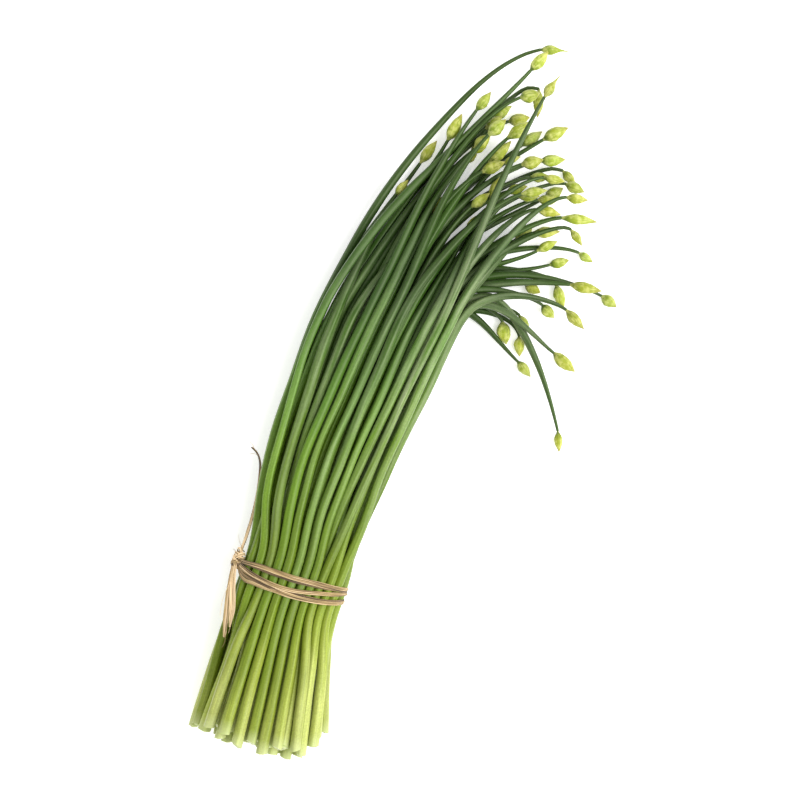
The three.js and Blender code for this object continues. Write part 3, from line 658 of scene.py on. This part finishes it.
def close_cut_end(stem, slant, hollow):
    """Slants the cut a little, and closes the first ring with a rounded rim and a dished face of pith."""
    ring, second = ([v.co for v in stem.data.vertices[i * SECTION_POINTS:(i + 1) * SECTION_POINTS]]
                    for i in (0, 1))
    middle = sum(ring, Vector()) / SECTION_POINTS
    inward = (sum(second, Vector()) / SECTION_POINTS - middle).normalized()
    low_side = (ring[0] - middle).normalized()
    for vertex in stem.data.vertices:
        vertex.select = vertex.index < SECTION_POINTS
        if vertex.select:
            vertex.co += inward * (slant * (vertex.co - middle).dot(low_side))
    select_only(stem)
    bpy.ops.object.mode_set(mode="EDIT")
    bpy.ops.mesh.select_mode(type="VERT")
    bpy.ops.mesh.edge_face_add()
    bpy.ops.mesh.inset(**CUT_RIM)
    stem.active_material_index = 1
    bpy.ops.object.material_slot_assign()
    bpy.ops.mesh.inset(**PITH_EDGE)
    bpy.ops.mesh.inset(thickness=DISH_SLOPE, depth=-hollow)
    bpy.ops.object.mode_set(mode="OBJECT")


def rest_on_table(mesh):
    """Flattens what would reach below the table."""
    for vertex in mesh.vertices:
        vertex.co.z = max(0, vertex.co.z)


print("a stem's rings are", SKIN_SPACING / MM, "mm apart")

# %% [markdown]
# The buds.
# No two buds of a bunch are alike: most are oval with a short beak, some are slender, some are pressed into
# lobes by the flowers inside, and a few end in a long thin beak. Each kind is modelled once. A circle is
# extruded from the neck to the tip, ring by ring, each ring scaled about the bud's axis, the last one
# merged to a point, and a subdivision rounds it. The kinds are made one unit long and one unit in radius,
# and every bud of the bunch is a copy stretched to its own size.

# %% The buds
BUD_SIDES = SECTION_POINTS // 2  # which the rounding doubles, so that a bud fits a stem point to point
BUD_OUTLINES = {  # share of the length, share of the radius
    "oval": [(0, 0.27), (0.05, 0.33), (0.1, 0.48), (0.17, 0.74), (0.27, 0.95), (0.39, 1.04), (0.52, 1.0),
             (0.64, 0.86), (0.75, 0.65), (0.85, 0.4), (0.93, 0.2), (0.98, 0.08)],
    "slender": [(0, 0.27), (0.06, 0.34), (0.14, 0.54), (0.25, 0.78), (0.38, 0.92), (0.51, 0.9), (0.64, 0.74),
                (0.76, 0.5), (0.87, 0.28), (0.95, 0.12)],
    "lobed": [(0, 0.27), (0.04, 0.36), (0.09, 0.56), (0.16, 0.86), (0.28, 1.05), (0.42, 1.12), (0.56, 1.06),
              (0.69, 0.88), (0.8, 0.62), (0.89, 0.34), (0.95, 0.15)],
    "long beak": [(0, 0.27), (0.04, 0.36), (0.09, 0.58), (0.16, 0.86), (0.27, 1.04), (0.38, 0.98),
                  (0.49, 0.74), (0.58, 0.46), (0.67, 0.25), (0.8, 0.14), (0.95, 0.07)],
}
LOBES = {"oval": 0.05, "slender": 0.04, "lobed": 0.11, "long beak": 0.05}
CREASES = {"across": 0.3, "depth": 0.13}  # the crumpled skin, in shares of the radius


def apply_modifier(item, kind, **settings):
    """Adds a modifier with its settings to the active object, and applies it."""
    modifier = item.modifiers.new(kind, kind)
    for name, value in settings.items():
        setattr(modifier, name, value)
    bpy.ops.object.modifier_apply(modifier=modifier.name)


def model_bud(kind):
    """One kind of bud, from its neck at z = 0 to its tip at z = 1, with a radius of about 1."""
    bpy.ops.object.select_all(action="DESELECT")
    height, radius = BUD_OUTLINES[kind][0]
    bpy.ops.mesh.primitive_circle_add(vertices=BUD_SIDES, radius=radius, location=(0, 0, 0))
    bud = bpy.context.object
    bud.name = f"{kind} bud"
    bpy.ops.object.mode_set(mode="EDIT")
    for next_height, next_radius in BUD_OUTLINES[kind][1:]:
        bpy.ops.mesh.extrude_region_move(TRANSFORM_OT_translate={"value": (0, 0, next_height - height)})
        widen = next_radius / radius
        bpy.ops.transform.resize(value=(widen, widen, 1), center_override=(0, 0, next_height))
        height, radius = next_height, next_radius
    bpy.ops.mesh.extrude_region_move(TRANSFORM_OT_translate={"value": (0, 0, 1 - height)})
    bpy.ops.mesh.merge(type="CENTER")
    bpy.ops.mesh.select_all(action="SELECT")
    bpy.ops.mesh.normals_make_consistent(inside=False)
    bpy.ops.object.mode_set(mode="OBJECT")
    apply_modifier(bud, "SUBSURF", levels=1, render_levels=1)
    for vertex in bud.data.vertices:
        x, y, z = vertex.co
        angle = math.atan2(y, x)
        belly = math.sin(math.pi * min(1, max(0, z))) ** 2
        three_lobes, five_creases = math.cos(3 * angle), 0.5 * math.cos(5 * angle + 2)
        swell = 1 + LOBES[kind] * belly * (three_lobes + five_creases)
        swell += CREASES["depth"] * belly * noise(Vector((x, y, 2 * z)) / CREASES["across"])
        vertex.co = (x * swell, y * swell, z)
    bud.data.materials.append(BUD_SKIN)
    return bud


BUDS = {kind: model_bud(kind) for kind in BUD_OUTLINES}
for kind, bud in BUDS.items():
    print(kind, "bud:", len(bud.data.polygons), "faces,", [round(d, 2) for d in bud.dimensions])

# %% [markdown]
# A bud on its stem.
# The bud starts a little way past the stem's last ring, turned so that its points line up with the stem's.
# The two open rings are then bridged, as by hand, so that stem and bud are one skin, as they grew. The stem
# came from a curve with its faces turned inwards and the bud with its faces turned outwards, so at the end
# all of them are turned outwards together.

# %% A bud on its stem
NECK_ROOM = 0.35 * MM
PLUMPNESS = (0.72, 0.95)  # the least and most, as shares of the radius of the model's six-sided buds
BEAK_CURVE = {"oval": 0.32, "slender": 0.64, "lobed": 0.2, "long beak": 1.2}
BEAK_FROM = 0.4  # where the bud begins to bend, as a share of its length


def grow_bud(stem, stem_length, rings, kind, character, roll, stretch):
    """A copy of one kind of bud between the stem's neck and the tip, bridged to the stem."""
    neck, tip = rings[-BUD_RINGS - 1].to_3d(), rings[-1].to_3d()
    belly = seeded.uniform(*PLUMPNESS) * max(ring.w for ring in rings[-BUD_RINGS:])
    axis = (tip - neck).normalized()
    length = ((tip - neck).length - NECK_ROOM) * stretch
    side = stem.data.vertices[-SECTION_POINTS].co - neck
    side = (side - axis * side.dot(axis)).normalized()
    up = axis.cross(side)
    mesh = BUDS[kind].data.copy()
    bud = add_object("bud", mesh)
    growth, straight = [], []
    for vertex in mesh.vertices:
        x, y, z = vertex.co
        growth.append(1 + z)
        straight.append((x * belly, y * belly, stem_length + z * length))
        bow = BEAK_CURVE[kind] * max(0, z - BEAK_FROM) ** 2
        x += bow * math.cos(roll)
        y += bow * math.sin(roll)
        vertex.co = neck + axis * (NECK_ROOM + z * length) + side * (x * belly) + up * (y * belly)
    set_values(mesh, growth, straight, **character)
    select_only(stem, bud)
    bpy.ops.object.join()
    bpy.ops.object.mode_set(mode="EDIT")
    bpy.ops.mesh.select_mode(type="EDGE")
    bpy.ops.mesh.select_all(action="DESELECT")
    bpy.ops.mesh.select_non_manifold()
    bpy.ops.mesh.bridge_edge_loops()
    bpy.ops.mesh.select_all(action="SELECT")
    bpy.ops.mesh.normals_make_consistent(inside=False)
    bpy.ops.object.mode_set(mode="OBJECT")


LONG_BEAKS = [(31, 250.5), (38.5, 230)]  # the necks of the stalks whose beaks are long, in millimetres
SAME_PLACE = 3 * MM
LONG_STRETCH, STRETCH = 1.4, 1.05  # a bud's length with its beak, as a share of the model's
OTHER_KINDS = {"oval": 5, "slender": 2, "lobed": 3}  # and how common they are


def kind_of_bud(neck):
    """The kind of a stalk's bud, and its stretch."""
    for place in LONG_BEAKS:
        if (neck.xy - Vector(place) * MM).length < SAME_PLACE:
            return "long beak", LONG_STRETCH
    return seeded.choices(list(OTHER_KINDS), weights=OTHER_KINDS.values())[0], STRETCH


PAINTED_LIT_SIDE = 22 * MM  # the stalks whose cut ends lie further to the right than this, on the lamp's side, get painted light: yellower, with more wax
LAMP_SIDE_TONES = (0.05, 0.3)
LAMP_SIDE_WAX = (0.7, 1.0)
LAMP_SIDE_LIGHT = (0.15, 0.65)
OTHER_TONES = (0.2, 1.0)
MOST_SLANT = 0.5  # of the cut end, as a slope
HOLLOWS = (0.15, 0.9)  # of the cut end, in millimetres
KEEPS_SHARP = math.radians(50)  # an edge that is bent more than this


def character_of(cut_end):
    """The values alike all over a stalk. Those at the right get painted light: yellower, with more wax."""
    if cut_end.x > PAINTED_LIT_SIDE:
        return {
            "tone": seeded.uniform(*LAMP_SIDE_TONES),
            "wax_and_highlight": seeded.uniform(*LAMP_SIDE_WAX),
            "light": seeded.uniform(*LAMP_SIDE_LIGHT),
        }
    return {"tone": seeded.uniform(*OTHER_TONES), "wax_and_highlight": seeded.random() ** 2, "light": seeded.random()}


scapes = []
for node_name in stalk_nodes:
    rings = stalk_rings[node_name]
    name = node_name.replace("flower_stalk", "scape")
    character = character_of(rings[0])
    line = smooth_line(rings[:-BUD_RINGS], SKIN_SPACING)
    stem, stem_length = stem_along(name, line, seeded.choice(SECTIONS), character)
    close_cut_end(stem, slant=seeded.uniform(0, MOST_SLANT), hollow=seeded.uniform(*HOLLOWS) * MM)
    kind, stretch = kind_of_bud(rings[-BUD_RINGS - 1])
    grow_bud(stem, stem_length, rings, kind, character, seeded.uniform(0, 2 * math.pi), stretch)
    rest_on_table(stem.data)
    select_only(stem)
    bpy.ops.object.shade_smooth_by_angle(angle=KEEPS_SHARP)
    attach(stem, "root")
    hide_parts(node_name)
    scapes.append(stem)
for helper in [*SECTIONS, *BUDS.values()]:
    bpy.data.objects.remove(helper)
print(len(scapes), "stalks with", sum(len(s.data.polygons) for s in scapes), "faces in all")

# %% [markdown]
# Where the raffia runs.
# Raffia that is pulled tight touches only the outermost stalks and runs straight from one to the next. For
# each direction round the bunch, the stalk that reaches furthest that way is the one that it touches, so
# those places, taken in turn, are its route.

# %% Where the raffia runs
TIE_PLANE = -3 * MM  # along the bunch, half way between the two turns
TIE_MIDDLE = Vector((0, 0, 15)) * MM  # the middle of the bunch there
LOOKS_ROUND = 360


def section_at(rings, y):
    """A stalk's middle and radius where it passes a place along the bunch."""
    for a, b in zip(rings, rings[1:]):
        if a.y <= y <= b.y:
            return a.lerp(b, (y - a.y) / (b.y - a.y))


def taut_loop():
    """The places that tight raffia touches, each with its polar angle and the direction outwards."""
    sections = [section_at(rings, TIE_PLANE) for rings in stalk_rings.values()]
    loop = []
    for i in range(LOOKS_ROUND):
        turn = 2 * math.pi * i / LOOKS_ROUND
        out = Vector((math.cos(turn), 0, math.sin(turn)))
        touched = max(sections, key=lambda section: section.to_3d().dot(out) + section.w)
        place = touched.to_3d() + out * (touched.w + PRESSED_OUT)
        from_middle = place - TIE_MIDDLE
        loop.append((math.atan2(from_middle.z, from_middle.x), place, out))
    return loop


TAUT = taut_loop()


def on_bunch(degrees, y, lift):
    """The place on the tight route at a polar angle, `lift` above the stalks, and the direction outwards."""
    angle = math.radians(degrees)
    for (start, a, out_a), (end, b, out_b) in zip(TAUT, TAUT[1:] + TAUT[:1]):
        span = (end - start) % (2 * math.pi)
        past = (angle - start) % (2 * math.pi)
        if past <= span < math.pi:
            share = past / max(span, TINY)
            out = out_a.lerp(out_b, share).normalized()
            place = a.lerp(b, share)
            return Vector((place.x, y, place.z)) + out * lift, out


over_top = on_bunch(90, 0, 0)[0]
print("the raffia crosses the top of the bunch at", round(over_top.z / MM, 1), "mm")

# %% [markdown]
# A strip of raffia.
# Each strip starts as a flat grid. Its columns are laid across the route and its rows along it, its middle
# is raised or sunk a little so that the strip is cupped like a torn leaf, and its edges waver. A solidify
# modifier gives it a thickness, and a subdivision rounds the edges. Its own length and width, laid out
# straight, are kept as values, so that the fibres run along it wherever it goes.

# %% A strip of raffia
ACROSS = 6  # columns of a strip
WIDTH_WAVERS, WIDTH_WAVER_LENGTH = 0.18, 5 * MM  # the first is a share of the width
SWAYS, SWAY_LENGTH = 0.12 * MM, 7 * MM
RIDGE_HEIGHT, RIDGE_LENGTH = 0.1 * MM, 12 * MM
STRIPS_APART = 10 * MM  # in the pattern, so that no two have the same fibres
DARK_FROM = 0.66  # the share of a strip's length past which its dark end begins
strips = []


def lay_strip(route, tone, thickness=0.35, cup=0.1, dark_end=0.0):
    """Lays a strip along a route of (place, direction outwards, width). Its thickness is in millimetres,
    `cup` is how hollow it is as a share of its width, and `dark_end` is how much its tone falls by its end.
    """
    rows = len(route) - 1
    bpy.ops.object.select_all(action="DESELECT")
    bpy.ops.mesh.primitive_grid_add(x_subdivisions=ACROSS, y_subdivisions=rows, size=1)
    strip = bpy.context.object
    order = len(strips)
    lengths = lengths_along([place for place, _, _ in route])
    growth, straight, tones = [], [], []
    for vertex in strip.data.vertices:
        u = vertex.co.x
        row = round((vertex.co.y + 0.5) * rows)
        place, out, width = route[row]
        along = (route[min(rows, row + 1)][0] - route[max(0, row - 1)][0]).normalized()
        across = along.cross(out).normalized()
        length = lengths[row]
        width *= 1 + WIDTH_WAVERS * noise(Vector((length / WIDTH_WAVER_LENGTH, order, math.copysign(1, u))))
        sway = SWAYS * noise(Vector((length / SWAY_LENGTH, order, 5)))
        ridge = RIDGE_HEIGHT * noise(Vector((ACROSS * u, length / RIDGE_LENGTH, order)))
        raised = cup * width * (4 * u * u - 0.4) + ridge  # u is 0 in its middle and 0.5 at an edge
        vertex.co = place + across * (u * width + sway) + out.normalized() * raised
        growth.append(0.0)
        straight.append((u * width, order * STRIPS_APART, length))
        tones.append(tone - dark_end * max(0, row / rows - DARK_FROM) / (1 - DARK_FROM))
    set_values(strip.data, growth, straight, tone=tone)
    strip.data.attributes["tone"].data.foreach_set("value", tones)
    strip.data.materials.append(RAFFIA)
    apply_modifier(strip, "SOLIDIFY", thickness=thickness * MM, offset=0)
    apply_modifier(strip, "SUBSURF", levels=1, render_levels=1)
    strips.append(strip)


TURN_SPACING = 4  # degrees at most between two rows of a strip
FREE_SPACING = 1.2 * MM


def round_bunch(rows):
    """A route round the bunch from rows of angle in degrees, place along it, lift and width, in mm."""
    route = []
    for degrees, y, lift, width in smooth_line([Vector(row) for row in rows], TURN_SPACING):
        place, out = on_bunch(degrees, y * MM, lift * MM)
        route.append((place, out, width * MM))
    return route


def free_route(rows, facing):
    """A route through rows of x, y, z and width in mm, with its face to one direction."""
    line = smooth_line([Vector(row) * MM for row in rows], FREE_SPACING)
    return [(knot.to_3d(), Vector(facing), knot.w) for knot in line]


print("a strip has", ACROSS, "columns")

# %% [markdown]
# The two turns.
# Torn raffia is a bundle of narrow strands that hold together here and part there. The upper turn's strands
# lie close and cross a little. The lower turn's have come apart: greyish ones fan out from the knot, and a
# lighter one crosses them. So a turn is given by its middle line and its spread, and each strand by where
# it lies in that spread, from -1 to 1, at the turn's start and at its end. Angles are polar ones round the
# bunch: 0 at the right, 90 on top, 166 at the knot, and below zero underneath.

# %% The two turns
KNOT_RISE = 1.6  # how far the strands stand off the stalks where they go into the knot, in mm
KNOT_NARROWS = 0.35  # the share of its width that a strand loses there
KNOT_SHORTNESS = 14  # the power that keeps both close to the knot


def lay_turn(middle_line, strands):
    """Lays strands along a middle line of angle, place along the bunch and spread in mm."""
    first, last = middle_line[0][0], middle_line[-1][0]
    for start, end, width, lift, tone in strands:
        rows = []
        for degrees, y, spread in middle_line:
            share = (degrees - first) / (last - first)
            at_knot = abs(2 * share - 1) ** KNOT_SHORTNESS
            rows.append((degrees, y + spread * (start + (end - start) * share), lift + KNOT_RISE * at_knot,
                         width * (1 - KNOT_NARROWS * at_knot)))
        lay_strip(round_bunch(rows), tone, thickness=0.3)


# the upper turn's strands are painted lighter towards its upper edge and darker towards its lower edge:
# painted light and shade, as the light falls on its upper edge
lay_turn([  # the upper turn
    (167, 0.0, 0.6), (145, 0.5, 0.9), (135, 0.5, 0.9), (110, 0.4, 0.9), (90, 0.4, 0.9), (65, 0.8, 0.9),
    (35, 1.3, 0.8), (0, 1.8, 0.7), (-45, 1.0, 0.8), (-90, 0.1, 0.9), (-140, 0.4, 0.8), (-180, 0.4, 0.7),
    (-192, 0.2, 0.5),
], [
    (0.85, 0.5, 1.1, 0.4, 0.45), (-0.1, -0.9, 1.2, 0.5, 0.35), (-0.95, 0.4, 1.0, 0.35, 0.2),
    (0.4, 1.2, 0.4, 0.8, 0.6),
])
# a dark strand below the upper turn: partly a real strand and partly painted shadow, standing for the shadow
# that the upper turn casts into the gaps between the stalks
lay_turn([  # a dark strand just below it
    (168, -0.6, 0.3), (150, -0.9, 0.3), (137, -1.1, 0.3), (110, -1.2, 0.3), (85, -1.2, 0.3), (65, -0.8, 0.3),
    (35, 0.0, 0.3), (5, 1.1, 0.3), (-90, -0.6, 0.3), (-192, 0.0, 0.3),
], [(0.8, -0.4, 0.6, 0.12, 0.15)])
lay_turn([  # the lower turn's light strands
    (168, -1.6, 0.4), (150, -3.5, 0.6), (137, -4.3, 0.6), (110, -4.9, 0.6), (85, -4.6, 0.6), (65, -3.8, 0.6),
    (35, -1.9, 0.6), (5, 0.3, 0.6), (-30, 0.1, 0.6), (-90, -1.6, 0.8), (-150, -1.0, 0.6), (-192, -0.5, 0.4),
], [
    (0.7, 0.6, 0.9, 0.5, 0.25), (-0.6, -0.5, 1.1, 0.65, 0.5), (-1.5, 0.2, 0.35, 0.9, 0.65),
])
lay_turn([  # the lower turn's greyish strands
    (174, -2.2, 0.6), (166, -4.0, 1.7), (158, -4.9, 2.2), (150, -5.2, 2.0), (137, -5.8, 1.6),
    (110, -6.4, 1.1), (85, -6.6, 1.0), (65, -6.4, 0.9), (35, -5.4, 0.8), (5, -3.5, 0.8), (-45, -3.6, 1.0),
    (-90, -4.4, 1.2), (-140, -3.8, 1.1), (-180, -2.8, 0.9), (-192, -1.8, 0.6),
], [
    (-0.95, -0.8, 1.2, 0.35, 0.4), (-0.3, -0.1, 1.3, 0.4, 0.3), (0.3, 0.9, 1.1, 0.3, 0.4),
    (0.95, 0.3, 1.1, 0.35, 0.15), (-1.25, -1.2, 0.4, 0.5, 0.6), (0.6, -0.6, 0.45, 0.7, 0.55),
])
print(len(strips), "strips in the two turns")

# %% [markdown]
# The knot.
# The knot is small and pulled tight. Seen from above it is a few strands that cross over a lump, with two
# little ears at its upper end. A squashed ball under them keeps the light from showing through, and each
# strand is a strip along an ellipse, a little more than half way round it, which dives into the bunch at
# both ends.

# %% The knot
KNOT_MIDDLE = Vector((-25.1, -0.4, 15.8)) * MM
KNOT_OUT = Vector((-0.78, 0, 0.63)).normalized()
ALONG_BUNCH = Vector((0, 1, 0))
ROUND_BUNCH = ALONG_BUNCH.cross(KNOT_OUT)
STRAND_STEPS, EAR_STEPS = 16, 20
STRAND_BEND = 115  # degrees to either side of the top
EAR_FLATNESS = 0.8  # its width as a share of its height
EAR_TURN = 0.9  # how far its strip faces sideways
LUMP = (2.1, 3.1, 1.7)  # half its size round the bunch, along it and outwards, in mm
# the lump's dark tone is painted shade, where the knot's strands shade it
LUMP_SHADE_TONE = 0.15


def knot_strand(middle, heading, reach, height, width, tone):
    """A strand over the knot. Its heading is in degrees from the bunch's own direction."""
    turn = math.radians(heading)
    ahead = ALONG_BUNCH * math.cos(turn) + ROUND_BUNCH * math.sin(turn)
    route = []
    for i in range(STRAND_STEPS + 1):
        angle = math.radians(STRAND_BEND * (2 * i / STRAND_STEPS - 1))
        radial = ahead * (reach * MM * math.sin(angle)) + KNOT_OUT * (height * MM * math.cos(angle))
        route.append((KNOT_MIDDLE + ALONG_BUNCH * (middle * MM) + radial, radial.normalized(), width * MM))
    lay_strip(route, tone, thickness=0.45, cup=0.14)


def knot_ear(middle, lift, tilt, radius, width, tone):
    """A small standing loop. Its tilt is in degrees from lying flat."""
    lean = math.radians(tilt)
    side = ALONG_BUNCH * math.cos(lean) + KNOT_OUT * math.sin(lean)
    axis = ROUND_BUNCH.cross(side)
    centre = KNOT_MIDDLE + ALONG_BUNCH * (middle * MM) + KNOT_OUT * (lift * MM)
    route = []
    for i in range(EAR_STEPS + 1):
        angle = 2 * math.pi * i / EAR_STEPS
        radial = (ROUND_BUNCH * (EAR_FLATNESS * math.cos(angle)) + side * math.sin(angle)) * (radius * MM)
        route.append((centre + radial, (radial.normalized() + axis * EAR_TURN).normalized(), width * MM))
    lay_strip(route, tone, thickness=0.4, cup=0.14)


bpy.ops.object.select_all(action="DESELECT")
bpy.ops.mesh.primitive_uv_sphere_add(segments=16, ring_count=10, radius=1, location=(0, 0, 0))
lump = bpy.context.object
for vertex in lump.data.vertices:
    x, y, z = vertex.co
    from_middle = ROUND_BUNCH * (LUMP[0] * x) + ALONG_BUNCH * (LUMP[1] * y) + KNOT_OUT * (LUMP[2] * z)
    vertex.co = KNOT_MIDDLE + from_middle * MM
places = [tuple(v.co) for v in lump.data.vertices]
set_values(lump.data, [0.0] * len(places), places, tone=LUMP_SHADE_TONE)
lump.data.materials.append(RAFFIA)
strips.append(lump)

# the knot's strands and ears mostly get light tones, partly as painted light, since the knot lies on the side
# away from the lamp
knot_strand(middle=0.6, heading=40, reach=3.6, height=2.5, width=1.8, tone=0.85)
knot_strand(middle=-0.2, heading=-28, reach=3.4, height=2.7, width=1.6, tone=0.55)
knot_strand(middle=-2.5, heading=80, reach=2.8, height=2.1, width=1.5, tone=0.2)
knot_strand(middle=2.0, heading=102, reach=2.8, height=2.4, width=1.4, tone=0.95)
knot_strand(middle=-1.1, heading=66, reach=2.9, height=3.0, width=1.3, tone=0.5)
knot_strand(middle=0.5, heading=118, reach=2.9, height=2.9, width=0.9, tone=1.0)
knot_strand(middle=1.4, heading=12, reach=3.3, height=2.3, width=1.1, tone=0.55)
knot_ear(middle=3.6, lift=0.9, tilt=30, radius=1.9, width=1.1, tone=1.0)
knot_ear(middle=2.8, lift=1.7, tilt=75, radius=1.3, width=0.8, tone=0.6)
print("the knot is at", [round(c / MM, 1) for c in KNOT_MIDDLE])

# %% [markdown]
# The free ends.
# The lower end hangs down from the knot and has split into two flat strips. The upper one is narrow. It
# lies along the edge of the bunch and curls away at its tip, which is dark where it dried first. A few
# fibres have torn loose.

# %% The free ends
TOP_LEFT = (-0.54, 0, 0.84)  # the way that the bunch's upper left side faces
LEFT = (-0.7, 0.1, 0.7)

# the free ends get light tones, partly as painted light, since they lie on the side away from the lamp
lay_strip(free_route([  # the inner half of the lower end
    (-26.0, -1.0, 17.4, 1.8), (-25.0, -7, 19.6, 2.3), (-23.0, -14, 21.8, 3.2), (-21.0, -20.5, 22.8, 3.1),
    (-19.8, -28.5, 22.6, 0.7),
], TOP_LEFT), tone=0.95, cup=0.2)
lay_strip(free_route([  # the outer half
    (-26.6, -3, 17.2, 1.6), (-25.6, -10, 19.2, 2.1), (-24.0, -18, 20.8, 2.8), (-22.2, -26, 20.9, 2.8),
    (-20.6, -33.5, 20.0, 1.4),
], TOP_LEFT), tone=0.7, cup=0.2)
lay_strip(free_route([  # the upper end
    (-25.4, 2, 17.0, 1.6), (-25.2, 12, 12.4, 1.9), (-26.0, 25, 9.4, 1.7), (-27.8, 36, 8.6, 1.5),
    (-29.6, 42.5, 9.4, 1.3), (-32.0, 46, 11.4, 1.1), (-35.2, 47.8, 13.4, 0.7),
], LEFT), tone=0.7, cup=0.2, dark_end=0.8)
print(len(strips), "strips so far")

# %% [markdown]
# Loose fibres.
# Torn raffia always sheds a few hair-thin fibres, at the knot and at its ends. They are strips too, only
# very narrow ones.

# %% Loose fibres
FIBRE_WIDTH, FIBRE_THICKNESS = 0.22, 0.12  # in mm
FIBRE_TAPER = 0.5  # the share of its width that a fibre loses towards its end
FIBRE_TONES = (0.3, 1.0)
RAFFIA_KEEPS_SHARP = math.radians(60)  # an edge that is bent more than this
LOOSE_FIBRES = [
    [(-25.0, 3.5, 19.5), (-25.8, 6.0, 20.6), (-27.4, 8.0, 20.4), (-28.4, 10.6, 19.4)],
    [(-25.6, 1.5, 19.0), (-27.6, 3.4, 19.6), (-29.0, 3.8, 18.6)],
    [(-24.6, -6.0, 20.4), (-25.8, -12.0, 22.0), (-26.2, -19.0, 22.2), (-25.2, -25.0, 21.6)],
    [(-21.0, -21.0, 23.4), (-19.6, -26.0, 24.2), (-19.4, -31.0, 23.6)],
    [(-20.9, -31.0, 20.8), (-19.8, -35.0, 20.9), (-20.2, -38.0, 20.2)],
    [(-31.0, 45.0, 10.8), (-33.0, 45.4, 12.4), (-35.2, 44.4, 13.2)],
    [(-33.6, 47.2, 12.6), (-35.2, 49.2, 13.6), (-37.0, 49.6, 14.0)],
]
for places in LOOSE_FIBRES:
    last = len(places) - 1
    rows = [(*place, FIBRE_WIDTH * (1 - FIBRE_TAPER * i / last)) for i, place in enumerate(places)]
    lay_strip(free_route(rows, TOP_LEFT), seeded.uniform(*FIBRE_TONES), FIBRE_THICKNESS, cup=0)

select_only(*strips)
bpy.ops.object.join()
binding = bpy.context.object
binding.name = "raffia_binding"
binding.data.name = binding.name
bpy.ops.object.transform_apply()
rest_on_table(binding.data)
bpy.ops.object.shade_smooth_by_angle(angle=RAFFIA_KEEPS_SHARP)
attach(binding, "root")
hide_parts("raffia_tie")
print("the raffia has", len(binding.data.polygons), "faces")
